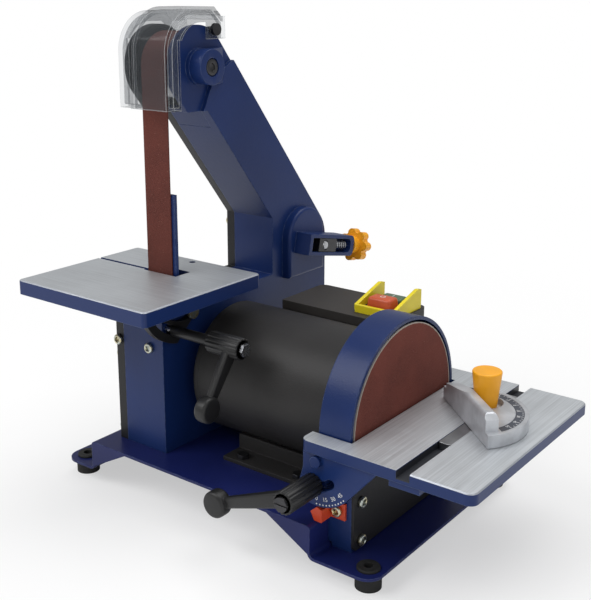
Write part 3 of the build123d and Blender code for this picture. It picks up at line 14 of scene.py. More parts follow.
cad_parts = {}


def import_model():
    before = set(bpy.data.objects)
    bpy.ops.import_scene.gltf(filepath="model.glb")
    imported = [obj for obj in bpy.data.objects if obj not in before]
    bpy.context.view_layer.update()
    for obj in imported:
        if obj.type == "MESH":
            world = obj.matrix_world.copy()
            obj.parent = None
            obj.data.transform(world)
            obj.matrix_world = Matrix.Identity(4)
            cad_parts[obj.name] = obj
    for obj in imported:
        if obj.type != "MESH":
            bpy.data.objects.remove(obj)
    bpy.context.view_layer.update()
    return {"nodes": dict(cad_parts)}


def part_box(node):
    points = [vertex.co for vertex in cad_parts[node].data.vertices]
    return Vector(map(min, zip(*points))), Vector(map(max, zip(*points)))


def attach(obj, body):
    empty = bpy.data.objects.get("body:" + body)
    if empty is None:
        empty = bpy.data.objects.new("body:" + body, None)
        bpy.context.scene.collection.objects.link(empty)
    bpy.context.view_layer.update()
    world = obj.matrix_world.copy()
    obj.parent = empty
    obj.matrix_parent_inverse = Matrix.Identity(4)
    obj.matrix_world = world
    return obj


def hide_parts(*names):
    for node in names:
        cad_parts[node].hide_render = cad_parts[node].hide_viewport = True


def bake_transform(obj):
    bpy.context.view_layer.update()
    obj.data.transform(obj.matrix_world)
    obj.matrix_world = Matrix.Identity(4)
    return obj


log = logging.getLogger("sander")

Triple = Tuple[float, float, float]
Colour = Triple
Number = Union[float, "Wire"]
Test = Callable[[Any], bool]

MM = 0.001
LEFT, RIGHT = Vector((-1, 0, 0)), Vector((1, 0, 0))
FRONT, BACK = Vector((0, -1, 0)), Vector((0, 1, 0))
UP = Vector((0, 0, 1))
SMOOTH = math.radians(35)
CLOUD_RANGE = (0.3, 0.7)


def srgb(red: int, green: int, blue: int) -> Colour:
    """Turns an 8-bit screen colour into a linear one.

    Args:
        red: Red from 0 to 255.
        green: Green from 0 to 255.
        blue: Blue from 0 to 255.

    Returns:
        The linear colour.
    """

    def straight(value: int) -> float:
        """One channel, linear."""
        share = value / 255
        return share / 12.92 if share <= 0.04045 else ((share + 0.055) / 1.055) ** 2.4

    return straight(red), straight(green), straight(blue)


def scaled(colour: Colour, factor: float) -> Colour:
    """A colour made lighter or darker by a factor."""
    return tuple(min(1.0, channel * factor) for channel in colour)


class Wire:
    """A shader socket that takes part in Python arithmetic."""

    def __init__(self, graph: "Graph", socket: bpy.types.NodeSocket) -> None:
        """Keeps the socket and the graph that it belongs to."""
        self.graph = graph
        self.socket = socket

    def _math(self, operation: str, first: Number, second: Number) -> "Wire":
        """Adds one Math node.

        Args:
            operation: The Math node's operation.
            first: Its first value or link.
            second: Its second value or link.

        Returns:
            The node's result.
        """
        node = self.graph.add("ShaderNodeMath", {"operation": operation}, {0: first, 1: second})
        return Wire(self.graph, node.outputs[0])

    def __add__(self, other: Number) -> "Wire":
        """Sum."""
        return self._math("ADD", self, other)

    def __radd__(self, other: Number) -> "Wire":
        """Sum, reflected."""
        return self._math("ADD", other, self)

    def __sub__(self, other: Number) -> "Wire":
        """Difference."""
        return self._math("SUBTRACT", self, other)

    def __rsub__(self, other: Number) -> "Wire":
        """Difference, reflected."""
        return self._math("SUBTRACT", other, self)

    def __mul__(self, other: Number) -> "Wire":
        """Product."""
        return self._math("MULTIPLY", self, other)

    def __rmul__(self, other: Number) -> "Wire":
        """Product, reflected."""
        return self._math("MULTIPLY", other, self)

    def within(self, low: float, high: float) -> "Wire":
        """Goes smoothly from 0 at low to 1 at high.

        Args:
            low: Value that gives 0.
            high: Value that gives 1.

        Returns:
            The smooth step.
        """
        node = self.graph.add(
            "ShaderNodeMapRange",
            {"interpolation_type": "SMOOTHSTEP"},
            {"Value": self, "From Min": low, "From Max": high},
        )
        return Wire(self.graph, node.outputs["Result"])


class Graph:
    """The node tree of one material."""

    def __init__(self, name: str) -> None:
        """Starts an empty material of that name."""
        self.material = bpy.data.materials.new(name)
        self.material.use_nodes = True
        self.tree = self.material.node_tree
        self.tree.nodes.clear()
        self.output = self.tree.nodes.new("ShaderNodeOutputMaterial")

    def add(
        self,
        kind: str,
        settings: Optional[Dict[str, Any]] = None,
        sockets: Optional[Dict[Union[str, int], Any]] = None,
    ) -> bpy.types.Node:
        """Adds a node, sets it up and fills its sockets.

        Args:
            kind: The node's type.
            settings: The node's own settings.
            sockets: Values or links by socket name or number.

        Returns:
            The new node.
        """
        node = self.tree.nodes.new(kind)
        for key, value in (settings or {}).items():
            setattr(node, key, value)
        for key, value in (sockets or {}).items():
            target = node.inputs[key]
            if isinstance(value, Wire):
                self.tree.links.new(value.socket, target)
            elif isinstance(value, bpy.types.NodeSocket):
                self.tree.links.new(value, target)
            elif target.type == "RGBA" and len(value) == 3:
                target.default_value = (*value, 1.0)
            else:
                target.default_value = value
        return node

    def place(self, stretch: Triple = (1.0, 1.0, 1.0)) -> bpy.types.NodeSocket:
        """Object coordinates in metres, stretched along each axis."""
        source = self.add("ShaderNodeTexCoord").outputs["Object"]
        node = self.add("ShaderNodeMapping", None, {"Vector": source, "Scale": stretch})
        return node.outputs["Vector"]

    def span(self, place: bpy.types.NodeSocket, centre: Triple = (0.0, 0.0, 0.0)) -> Wire:
        """Distance of a place from a centre."""
        node = self.add("ShaderNodeVectorMath", {"operation": "DISTANCE"}, {0: place, 1: centre})
        return Wire(self, node.outputs["Value"])

    def axis(self, output: str, name: str) -> Wire:
        """One axis of a texture coordinate.

        Args:
            output: Object or Normal.
            name: X, Y or Z.

        Returns:
            That axis as a number.
        """
        source = self.add("ShaderNodeTexCoord")
        node = self.add("ShaderNodeSeparateXYZ", None, {0: source.outputs[output]})
        return Wire(self, node.outputs[name])

    def noise(self, place: bpy.types.NodeSocket, scale: float, detail: float = 2.0) -> Wire:
        """A cloud of values round one half."""
        sockets = {"Vector": place, "Scale": scale, "Detail": detail, "Roughness": 0.55}
        return Wire(self, self.add("ShaderNodeTexNoise", None, sockets).outputs[0])

    def grains(self, place: bpy.types.NodeSocket, scale: float) -> Wire:
        """Distance from the nearest of many scattered points."""
        node = self.add("ShaderNodeTexVoronoi", None, {"Vector": place, "Scale": scale})
        return Wire(self, node.outputs["Distance"])

    def mix(self, factor: Number, first: Any, second: Any) -> Wire:
        """A colour between two others.

        Args:
            factor: 0 for the first colour and 1 for the second.
            first: Colour or link.
            second: Colour or link.

        Returns:
            The mixed colour.
        """
        node = self.add("ShaderNodeMix", {"data_type": "RGBA"}, {0: factor, 6: first, 7: second})
        return Wire(self, node.outputs[2])

    def edges(self, radius: float) -> Tuple[Wire, Wire]:
        """Softened normals near sharp edges, and a mask of those edges.

        Args:
            radius: Reach from the edge in metres.

        Returns:
            The softened normal and the mask.
        """
        soft = self.add("ShaderNodeBevel", {"samples": 6}, {"Radius": radius})
        plain = self.add("ShaderNodeNewGeometry")
        dot = self.add(
            "ShaderNodeVectorMath",
            {"operation": "DOT_PRODUCT"},
            {0: soft.outputs["Normal"], 1: plain.outputs["Normal"]},
        )
        mask = (1.0 - Wire(self, dot.outputs["Value"])).within(0.02, 0.25)
        return Wire(self, soft.outputs["Normal"]), mask

    def bump(
        self, height: Wire, depth: float, normal: Optional[Wire] = None, strength: float = 1.0
    ) -> Wire:
        """A bumped normal.

        Args:
            height: Height from 0 to 1.
            depth: Depth of the bumps in metres.
            normal: Normal that the bumps stand on.
            strength: Share of the bumps that shows.

        Returns:
            The bumped normal.
        """
        sockets: Dict[Union[str, int], Any] = {"Height": height, "Distance": depth, "Strength": strength}
        if normal is not None:
            sockets["Normal"] = normal
        return Wire(self, self.add("ShaderNodeBump", None, sockets).outputs["Normal"])

    def surface(self, sockets: Dict[Union[str, int], Any]) -> bpy.types.Material:
        """Closes the graph with one principled surface."""
        return self._close(self.add("ShaderNodeBsdfPrincipled", None, sockets))

    def between(self, share: Wire, first: bpy.types.Node, second: bpy.types.Node) -> bpy.types.Material:
        """Closes the graph with a mix of two shaders."""
        sockets = {0: share, 1: first.outputs[0], 2: second.outputs[0]}
        return self._close(self.add("ShaderNodeMixShader", None, sockets))

    def _close(self, shader: bpy.types.Node) -> bpy.types.Material:
        """Makes a shader the material's surface."""
        self.tree.links.new(shader.outputs[0], self.output.inputs["Surface"])
        return self.material


class Grain(Enum):
    """Which way the tool marks of a metal run, as the stretch of its noise."""

    ALONG_X = (14.0, 1500.0, 1500.0)
    ALONG_Y = (1500.0, 14.0, 1500.0)
    CAST = (420.0, 420.0, 420.0)


@dataclass(frozen=True)
class Finish:
    """What every finish has: a name, a colour and how rough it is."""

    name: str
    colour: Colour
    roughness: float = 0.4

    def make(self) -> bpy.types.Material:
        """Builds the material."""
        raise NotImplementedError

    def shaded(self, graph: Graph, cloud: Wire, dark: float, light: float) -> Wire:
        """The colour, clouded between two shares of it.

        Args:
            graph: The material's graph.
            cloud: Values round one half.
            dark: The darker share.
            light: The lighter share.

        Returns:
            The clouded colour.
        """
        return graph.mix(cloud.within(*CLOUD_RANGE), scaled(self.colour, dark), scaled(self.colour, light))


@dataclass(frozen=True)
class Paint(Finish):
    """Baked paint with a faint orange peel, rubbed thin along its edges."""

    rubbed: Colour = srgb(120, 140, 175)
    peel: float = 0.00012
    wear: float = 0.5
    specular: float = 0.26
    coat: float = 0.04
    edge_reach: float = 0.9 * MM

    def make(self) -> bpy.types.Material:
        """Builds the paint."""
        graph = Graph(self.name)
        place = graph.place()
        cloud = graph.noise(place, 11.0, 3.0)
        normal, edge = graph.edges(self.edge_reach)
        chips = edge * graph.noise(place, 220.0, 3.0).within(0.38, 0.66) * self.wear
        coat = self.shaded(graph, cloud, 0.86, 1.12)
        skin = graph.noise(place, 900.0) * 0.7 + graph.noise(place, 260.0) * 0.6
        return graph.surface(
            {
                "Base Color": graph.mix(chips, coat, self.rubbed),
                "Roughness": self.roughness + (cloud - 0.5) * 0.16 + edge * 0.06,
                "Specular IOR Level": self.specular,
                "Coat Weight": self.coat,
                "Coat Roughness": 0.22,
                "Normal": graph.bump(skin, self.peel, normal, 0.6),
            }
        )


@dataclass(frozen=True)
class Moulded(Finish):
    """Moulded plastic with a fine spark-eroded grain."""

    grain: float = 0.00010
    specular: float = 0.45
    edge_reach: float = 0.7 * MM

    def make(self) -> bpy.types.Material:
        """Builds the plastic."""
        graph = Graph(self.name)
        place = graph.place()
        cloud = graph.noise(place, 26.0, 3.0)
        normal, edge = graph.edges(self.edge_reach)
        colour = self.shaded(graph, cloud, 0.9, 1.08)
        return graph.surface(
            {
                "Base Color": graph.mix(edge * 0.35, colour, scaled(self.colour, 1.7)),
                "Roughness": self.roughness + (cloud - 0.5) * 0.18,
                "Specular IOR Level": self.specular,
                "Normal": graph.bump(graph.noise(place, 1500.0), self.grain, normal, 0.5),
            }
        )


@dataclass(frozen=True)
class GroundTop(Finish):
    """A painted casting whose top face is ground to bare metal, except inside a slot, which gets a painted
    shade.
    """

    paint: Colour = srgb(38, 62, 118)
    grain: Grain = Grain.ALONG_X
    slot_from: float = 0.0
    slot_to: float = 0.0
    slot_top: float = 0.0
    slot_depth: float = 5.4 * MM
    slot_blur: float = 0.2 * MM
    # Dark colour of the painted shade inside a slot.
    sunk: Colour = srgb(44, 46, 52)
    rubbed: Colour = srgb(125, 145, 180)
    edge_reach: float = 0.6 * MM

    def make(self) -> bpy.types.Material:
        """Builds the ground top and its painted sides."""
        graph = Graph(self.name)
        place = graph.place()
        top = graph.axis("Normal", "Z").within(0.55, 0.8)
        across = graph.axis("Object", "X")
        # Mask of the painted shade: across the slot, from just below the top down to its floor.
        inside = across.within(self.slot_from - self.slot_blur, self.slot_from) * (
            1.0 - across.within(self.slot_to, self.slot_to + self.slot_blur)
        )
        depth = self.slot_top - graph.axis("Object", "Z")
        under = depth.within(self.slot_blur, 5 * self.slot_blur)
        deep = inside * under * (1.0 - depth.within(self.slot_depth, self.slot_depth + 3 * self.slot_blur))
        lines = graph.noise(graph.place(self.grain.value), 1.0, 4.0)
        cloud = graph.noise(place, 16.0, 4.0)
        scuff = graph.noise(place, 70.0, 5.0).within(0.56, 0.72)
        metal = self.shaded(graph, lines * 0.6 + cloud * 0.4, 0.84, 1.12)
        normal, edge = graph.edges(self.edge_reach)
        painted = graph.mix(edge * 0.5, self.paint, self.rubbed)
        height = lines * top + graph.noise(place, 800.0) * (1.0 - top)
        return graph.surface(
            {
                # Painted shade: inside the slot the colour turns dark and it stops being metallic.
                "Base Color": graph.mix(deep, graph.mix(top, painted, metal), self.sunk),
                "Metallic": top * 0.82 * (1.0 - deep),
                "Specular IOR Level": 0.3,
                "Roughness": self.roughness * top
                + (1.0 - top) * 0.36
                + (lines - 0.5) * 0.16
                + scuff * top * 0.05,
                "Normal": graph.bump(height, 0.00006, normal, 0.6),
            }
        )


@dataclass(frozen=True)
class Metal(Finish):
    """Bare metal with tool marks."""

    grain: Grain = Grain.CAST
    marks: float = 0.00005
    metallic: float = 1.0
    edge_reach: float = 0.5 * MM

    def make(self) -> bpy.types.Material:
        """Builds the metal."""
        graph = Graph(self.name)
        place = graph.place()
        lines = graph.noise(graph.place(self.grain.value), 1.0, 3.0)
        cloud = graph.noise(place, 60.0, 3.0)
        normal, edge = graph.edges(self.edge_reach)
        colour = self.shaded(graph, cloud, 0.82, 1.1)
        return graph.surface(
            {
                "Base Color": graph.mix(edge * 0.4, colour, scaled(self.colour, 1.35)),
                "Metallic": self.metallic,
                "Roughness": self.roughness + (lines - 0.5) * 0.25,
                "Normal": graph.bump(lines, self.marks, normal, 0.5),
            }
        )


@dataclass(frozen=True)
class Plated(Finish):
    """Yellow zinc plating with a faint change of hue."""

    second: Colour = srgb(190, 196, 190)
    rubbed: Colour = srgb(235, 232, 220)
    edge_reach: float = 0.35 * MM

    def make(self) -> bpy.types.Material:
        """Builds the plating."""
        graph = Graph(self.name)
        place = graph.place()
        hue = graph.noise(place, 210.0, 2.0).within(0.35, 0.65)
        normal, edge = graph.edges(self.edge_reach)
        colour = graph.mix(hue, self.colour, self.second)
        return graph.surface(
            {
                "Base Color": graph.mix(edge * 0.3, colour, self.rubbed),
                "Metallic": 0.95,
                "Roughness": self.roughness + (graph.noise(place, 900.0) - 0.5) * 0.2,
                "Normal": normal,
            }
        )


@dataclass(frozen=True)
class Rubber(Finish):
    """Soft black rubber with a dusty skin."""

    edge_reach: float = 0.8 * MM

    def make(self) -> bpy.types.Material:
        """Builds the rubber."""
        graph = Graph(self.name)
        place = graph.place()
        dust = graph.noise(place, 120.0, 4.0).within(0.45, 0.75)
        normal, _ = graph.edges(self.edge_reach)
        return graph.surface(
            {
                "Base Color": graph.mix(dust, self.colour, scaled(self.colour, 2.2)),
                "Roughness": self.roughness + dust * 0.12,
                "Normal": graph.bump(graph.noise(place, 1300.0), 0.0001, normal, 0.6),
            }
        )


@dataclass(frozen=True)
class Grit(Finish):
    """Aluminium oxide grains glued on cloth."""

    fleck: Colour = srgb(176, 130, 112)
    rim: float = 1.0
    centre: Triple = (0.0, 0.0, 0.0)
    ragged: float = 0.8 * MM
    worn: Colour = srgb(168, 160, 152)

    def make(self) -> bpy.types.Material:
        """Builds the abrasive, worn pale past its rim."""
        graph = Graph(self.name)
        place = graph.place()
        span = graph.span(graph.place((0.0, 1.0, 1.0)), self.centre)
        ragged = span + (graph.noise(place, 300.0, 2.0) - 0.5) * self.ragged
        bare = ragged.within(self.rim - 0.3 * MM, self.rim + 0.2 * MM)
        grain = graph.grains(place, 1900.0)
        cloud = graph.noise(place, 38.0, 4.0)
        flecks = graph.noise(place, 1100.0, 1.0).within(0.72, 0.79)
        deep = graph.mix(grain.within(0.05, 0.6), scaled(self.colour, 1.3), scaled(self.colour, 0.72))
        tone = graph.mix(cloud.within(0.32, 0.68) * 0.5, deep, scaled(self.colour, 1.2))
        flecked = graph.mix(flecks * 0.7, tone, self.fleck)
        return graph.surface(
            {
                "Base Color": graph.mix(bare, flecked, self.worn),
                "Roughness": self.roughness + (cloud - 0.5) * 0.1,
                "Specular IOR Level": 0.3,
                "Normal": graph.bump(1.0 - grain, 0.00022, None, 0.8),
            }
        )


@dataclass(frozen=True)
class Clear(Finish):
    """Clear moulded plastic: see-through and grey, with a painted highlight along its edges and a gloss."""

    haze: float = 0.02
    lit_edge: Colour = srgb(236, 238, 240)
    passed: Colour = (0.93, 0.935, 0.94)
    edge_reach: float = 1.1 * MM

    def make(self) -> bpy.types.Material:
        """Builds the clear plastic."""
        graph = Graph(self.name)
        place = graph.place()
        _, edge = graph.edges(self.edge_reach)
        rim = graph.add("ShaderNodeLayerWeight", None, {"Blend": 0.3})
        swirl = graph.noise(place, 55.0, 2.0)
        shell = graph.add(
            "ShaderNodeBsdfPrincipled",
            None,
            {
                # Painted highlight: the edges are coloured near-white.
                "Base Color": graph.mix(edge, self.colour, self.lit_edge),
                "Roughness": self.roughness + swirl * 0.06,
                "Specular IOR Level": 0.7,
            },
        )
        through = graph.add("ShaderNodeBsdfTransparent", None, {"Color": self.passed})
        # Along the edges more of the shell shows, with its painted highlight.
        share = self.haze + Wire(graph, rim.outputs["Fresnel"]) * 0.5 + edge * 0.3
        return graph.between(share.within(0.0, 1.1), through, shell)


@dataclass(frozen=True)
class Ink(Finish):
    """Printed or filled marks, a little uneven."""

    def make(self) -> bpy.types.Material:
        """Builds the ink."""
        graph = Graph(self.name)
        thin = graph.noise(graph.place(), 700.0, 3.0).within(0.25, 0.6)
        return graph.surface(
            {
                "Base Color": graph.mix(thin, scaled(self.colour, 0.7), self.colour),
                "Roughness": self.roughness + thin * 0.1,
            }
        )


BLUE = srgb(21, 43, 94)
BASE_BLUE = srgb(26, 34, 88)
SILVER = srgb(208, 212, 216)


class Dress:
    """Every finish of the machine, made once."""

    blue_cast = Paint("blue_casting", BLUE, 0.36, peel=0.0002)
    blue_sheet = Paint("blue_sheet", BASE_BLUE, 0.32)
    blue_plate = Paint("blue_platen", BLUE, 0.42, wear=0.8)
    black_sheet = Paint("black_sheet", srgb(30, 30, 32), 0.42, rubbed=srgb(80, 80, 84), peel=0.0002)
    black_steel = Paint("black_steel", srgb(46, 45, 45), 0.5, rubbed=srgb(90, 90, 92), peel=0.00025)
    black_plastic = Moulded("black_plastic", srgb(26, 26, 27), 0.42)
    box_plastic = Moulded("switch_box_plastic", srgb(48, 45, 43), 0.55, grain=0.0002)
    orange = Moulded("orange_plastic", srgb(244, 170, 32), 0.36, grain=0.00005)
    yellow = Moulded("yellow_plastic", srgb(232, 212, 30), 0.36, grain=0.00005)
    stop_red = Moulded("stop_key_red", srgb(196, 84, 48), 0.36, grain=0.00005)
    start_green = Moulded("start_key_green", srgb(84, 108, 84), 0.38, grain=0.00005)
    pointer_red = Moulded("pointer_red", srgb(206, 70, 36), 0.4, grain=0.00005)
    belt_top = GroundTop("belt_table_top", SILVER, 0.46, BLUE)
    # The disc table's top, with painted shade inside its mitre slot.
    disc_top = GroundTop(
        "disc_table_top",
        SILVER,
        0.46,
        BLUE,
        Grain.ALONG_Y,
        slot_from=159.7 * MM,
        slot_to=169.3 * MM,
        slot_top=93.0 * MM,
    )
    cast_silver = Metal("die_cast_silver", srgb(196, 199, 204), 0.38, marks=0.00003, metallic=0.5)
    bar_steel = Metal("drawn_steel", srgb(170, 172, 175), 0.34, Grain.ALONG_Y)
    turned = Metal("turned_steel", srgb(176, 178, 182), 0.28, Grain.ALONG_X)
    dark_steel = Metal("blackened_steel", srgb(70, 70, 72), 0.38, Grain.ALONG_Y, metallic=0.9)
    wheel = Metal("wheel_aluminium", srgb(196, 198, 202), 0.34, Grain.ALONG_X)
    core = Metal("lamination_steel", srgb(120, 120, 124), 0.42, Grain.ALONG_Y)
    zinc = Plated("zinc_plating", srgb(206, 192, 146), 0.3)
    rubber = Rubber("foot_rubber", srgb(24, 24, 24), 0.72)
    grit = Grit("abrasive_grit", srgb(98, 50, 42), 0.88)
    disc_grit = Grit(
        "disc_grit", srgb(112, 58, 49), 0.86, rim=62.7 * MM, centre=(0.0, -13.2 * MM, 91.5 * MM)
    )
    backing = Grit("belt_backing", srgb(150, 116, 84), 0.9, srgb(170, 140, 110))
    clear = Clear("clear_guard", srgb(96, 100, 104), 0.06)
    white_ink = Ink("white_ink", srgb(222, 224, 226), 0.5)
    scale_grey = Moulded("scale_band", srgb(66, 70, 80), 0.45, grain=0.00003)

    def __init__(self) -> None:
        """Starts with no material made."""
        self.made: Dict[str, bpy.types.Material] = {}

    def of(self, finish: Finish) -> bpy.types.Material:
        """The material of a finish, made the first time that it is asked for."""
        if finish.name not in self.made:
            self.made[finish.name] = finish.make()
        return self.made[finish.name]

    def put(self, piece: bpy.types.Object, *finishes: Finish) -> None:
        """Puts finishes on a piece, in the order of its material slots."""
        piece.data.materials.clear()
        for finish in finishes:
            piece.data.materials.append(self.of(finish))


class Part(Enum):
    """What an edit acts on."""

    VERTEX = "VERT"
    FACE = "FACE"


class Bench:
    """Adds meshes and shapes them with Blender's operators, as by hand."""

    @staticmethod
    def clear() -> None:
        """Leaves nothing selected."""
        bpy.ops.object.select_all(action="DESELECT")

    @classmethod
    def only(cls, piece: bpy.types.Object) -> None:
        """Selects one piece alone and makes it the active one."""
        cls.clear()
        piece.select_set(True)
        bpy.context.view_layer.objects.active = piece

    @classmethod
    def choose(cls, piece: bpy.types.Object, part: Part, test: Test) -> None:
        """Opens a piece for editing with the chosen part of it selected.

        Args:
            piece: The mesh.
            part: Vertices or faces.
            test: Says of one vertex or face whether it is chosen.
        """
        cls.only(piece)
        bpy.ops.object.mode_set(mode="EDIT")
        bpy.ops.mesh.select_mode(type=part.value)
        bpy.ops.mesh.select_all(action="DESELECT")
        bpy.ops.object.mode_set(mode="OBJECT")
        mesh = piece.data
        for item in mesh.vertices if part is Part.VERTEX else mesh.polygons:
            item.select = bool(test(item))
        bpy.ops.object.mode_set(mode="EDIT")

    @staticmethod
    def close() -> None:
        """Ends an edit."""
        bpy.ops.object.mode_set(mode="OBJECT")

    @classmethod
    def settle(cls, piece: bpy.types.Object, where: Optional[Matrix] = None) -> bpy.types.Object:
        """Puts a piece in its place and moves that place into its mesh.

        Args:
            piece: The piece, modelled round the origin.
            where: Its place in the frame.

        Returns:
            The same piece.
        """
        cls.only(piece)
        if where is not None:
            piece.matrix_world = where @ piece.matrix_world
        bpy.ops.object.transform_apply(location=True, rotation=True, scale=True)
        return piece

    @classmethod
    def cylinder(
        cls, name: str, radius: float, low: float, high: float, sides: int = 32
    ) -> bpy.types.Object:
        """A cylinder along Z.

        Args:
            name: Its name.
            radius: Its radius.
            low: Its lower end.
            high: Its upper end.
            sides: Number of its sides.

        Returns:
            The cylinder.
        """
        cls.clear()
        bpy.ops.mesh.primitive_cylinder_add(
            vertices=sides, radius=radius, depth=high - low, location=(0, 0, (low + high) / 2)
        )
        piece = bpy.context.active_object
        piece.name = name
        return cls.settle(piece)

    @classmethod
    def cuboid(cls, name: str, low: Vector, high: Vector) -> bpy.types.Object:
        """A cuboid between two corners."""
        cls.clear()
        bpy.ops.mesh.primitive_cube_add(size=1, location=(Vector(low) + Vector(high)) / 2)
        piece = bpy.context.active_object
        piece.name = name
        piece.scale = Vector(high) - Vector(low)
        return cls.settle(piece)

    @classmethod
    def round_off(
        cls, piece: bpy.types.Object, width: float, segments: int = 3, angle: float = 40.0
    ) -> bpy.types.Object:
        """Rounds a piece's sharp edges and shades it smooth.

        Args:
            piece: The piece.
            width: Width of the rounding.
            segments: Number of steps in it.
            angle: Least angle of an edge that is rounded, in degrees.

        Returns:
            The same piece.
        """
        cls.only(piece)
        bevel = piece.modifiers.new("round", "BEVEL")
        bevel.width = width
        bevel.segments = segments
        bevel.limit_method = "ANGLE"
        bevel.angle_limit = math.radians(angle)
        bpy.ops.object.modifier_apply(modifier=bevel.name)
        bpy.ops.object.shade_smooth_by_angle(angle=SMOOTH)
        return piece

    @classmethod
    def cut(
        cls, piece: bpy.types.Object, tool: bpy.types.Object, operation: str = "DIFFERENCE"
    ) -> bpy.types.Object:
        """Cuts a tool's shape out of a piece, or adds it, and removes the tool.

        Args:
            piece: The piece.
            tool: The tool, in its place.
            operation: DIFFERENCE, or UNION to add the shape.

        Returns:
            The same piece.
        """
        cls.only(piece)
        boolean = piece.modifiers.new("cut", "BOOLEAN")
        boolean.operation = operation
        boolean.solver = "EXACT"
        boolean.object = tool
        bpy.ops.object.modifier_apply(modifier=boolean.name)
        bpy.data.objects.remove(tool)
        return piece

    @classmethod
    def join(cls, name: str, pieces: Sequence[bpy.types.Object]) -> bpy.types.Object:
        """Joins pieces into one.

        Args:
            name: Name of the whole.
            pieces: The pieces, the first of which stays.

        Returns:
            The joined piece.
        """
        cls.only(pieces[0])
        for piece in pieces[1:]:
            piece.select_set(True)
        if len(pieces) > 1:
            bpy.ops.object.join()
        pieces[0].name = name
        pieces[0].data.name = name
        return pieces[0]

    @classmethod
    def copy(cls, piece: bpy.types.Object, where: Matrix) -> bpy.types.Object:
        """A copy of a piece with its own mesh, set in its place."""
        twin = piece.copy()
        twin.data = piece.data.copy()
        bpy.context.collection.objects.link(twin)
        return cls.settle(twin, where)

    @classmethod
    def words(cls, name: str, text: str, height: float, thickness: float) -> bpy.types.Object:
        """Flat figures, centred on the origin and facing +Z.

        Args:
            name: Name of the piece.
            text: The figures.
            height: Height of a figure.
            thickness: How far they stand proud.

        Returns:
            The figures as a mesh.
        """
        cls.clear()
        bpy.ops.object.text_add()
        piece = bpy.context.active_object
        piece.name = name
        piece.data.body = text
        piece.data.size = height * 1.4
        piece.data.align_x = "CENTER"
        piece.data.align_y = "CENTER"
        piece.data.extrude = thickness
        piece.data.resolution_u = 3
        bpy.ops.object.convert(target="MESH")
        return cls.settle(bpy.context.active_object)


def facing(origin: Vector, normal: Vector, up: Vector) -> Matrix:
    """The place of a piece whose +Z points along a normal and whose +Y points up.

    Args:
        origin: Where the piece's origin goes.
        normal: Where its +Z points.
        up: Where its +Y points, roughly.

    Returns:
        The place as a matrix.
    """
    z = Vector(normal).normalized()
    x = Vector(up).cross(z).normalized()
    y = z.cross(x)
    turn = Matrix((x, y, z)).transposed().to_4x4()
    return Matrix.Translation(Vector(origin)) @ turn


@dataclass
class SubAssembly:
    """A group of pieces that are dressed together."""

    dress: Dress
    nodes: Dict[str, bpy.types.Object]
    body: str = "machine"
    built: List[str] = field(default_factory=list)

    def wear(self, finish: Finish, *names: str) -> None:
        """Gives a finish to CAD nodes."""
        for name in names:
            self.dress.put(self.nodes[name], finish)

    def keep(
        self,
        piece: bpy.types.Object,
        finish: Finish,
        body: str = "",
        stands_for: Sequence[str] = (),
        slot: str = "",
    ) -> bpy.types.Object:
        """Finishes a new piece and lets it ride.

        Args:
            piece: The piece, in its place.
            finish: Its finish.
            body: The body it rides on, if not the group's own.
            stands_for: CAD nodes that it replaces.
            slot: Not used.

        Returns:
            The same piece.
        """
        if not piece.data.materials:
            self.dress.put(piece, finish)
        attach(piece, body or self.body)
        if stands_for:
            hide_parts(*stands_for)
        self.built.append(piece.name)
        return piece


@dataclass
class PanScrew:
    """A cross-recessed pan head."""

    radius: float = 4.0 * MM
    height: float = 2.5 * MM
    recess: float = 1.5 * MM
    arm_length: float = 4.6 * MM
    arm_width: float = 1.1 * MM
    rim: float = 1.2 * MM
    crown: float = 0.3 * MM
    rounding: float = 0.7 * MM
    clearance: float = 0.2 * MM
    spin_step: float = math.radians(37.0)

    def model(self) -> bpy.types.Object:
        """Models one head on the origin, facing +Z."""
        head = Bench.cylinder("pan_head", self.radius, 0.0, self.height, 24)
        Bench.choose(head, Part.FACE, lambda face: face.normal.z > 0.9)
        bpy.ops.mesh.inset(thickness=self.rim)
        bpy.ops.transform.translate(value=(0, 0, self.crown))
        Bench.close()
        Bench.round_off(head, self.rounding, 3, 25)
        top = self.height + self.crown + self.clearance
        half = Vector((self.arm_length / 2, self.arm_width / 2, 0))
        for turn in (0.0, math.pi / 2):
            tool = Bench.cuboid("recess", -half + UP * (top - self.recess), half + UP * top)
            Bench.settle(tool, Matrix.Rotation(turn, 4, "Z"))
            Bench.cut(head, tool)
        return head

    def row(self, name: str, places: Sequence[Matrix]) -> bpy.types.Object:
        """Copies of one head at several places, joined."""
        master = self.model()
        heads = []
        for index, place in enumerate(places):
            spin = Matrix.Rotation(self.spin_step * index, 4, "Z")
            heads.append(Bench.copy(master, place @ spin))
        bpy.data.objects.remove(master)
        return Bench.join(name, heads)


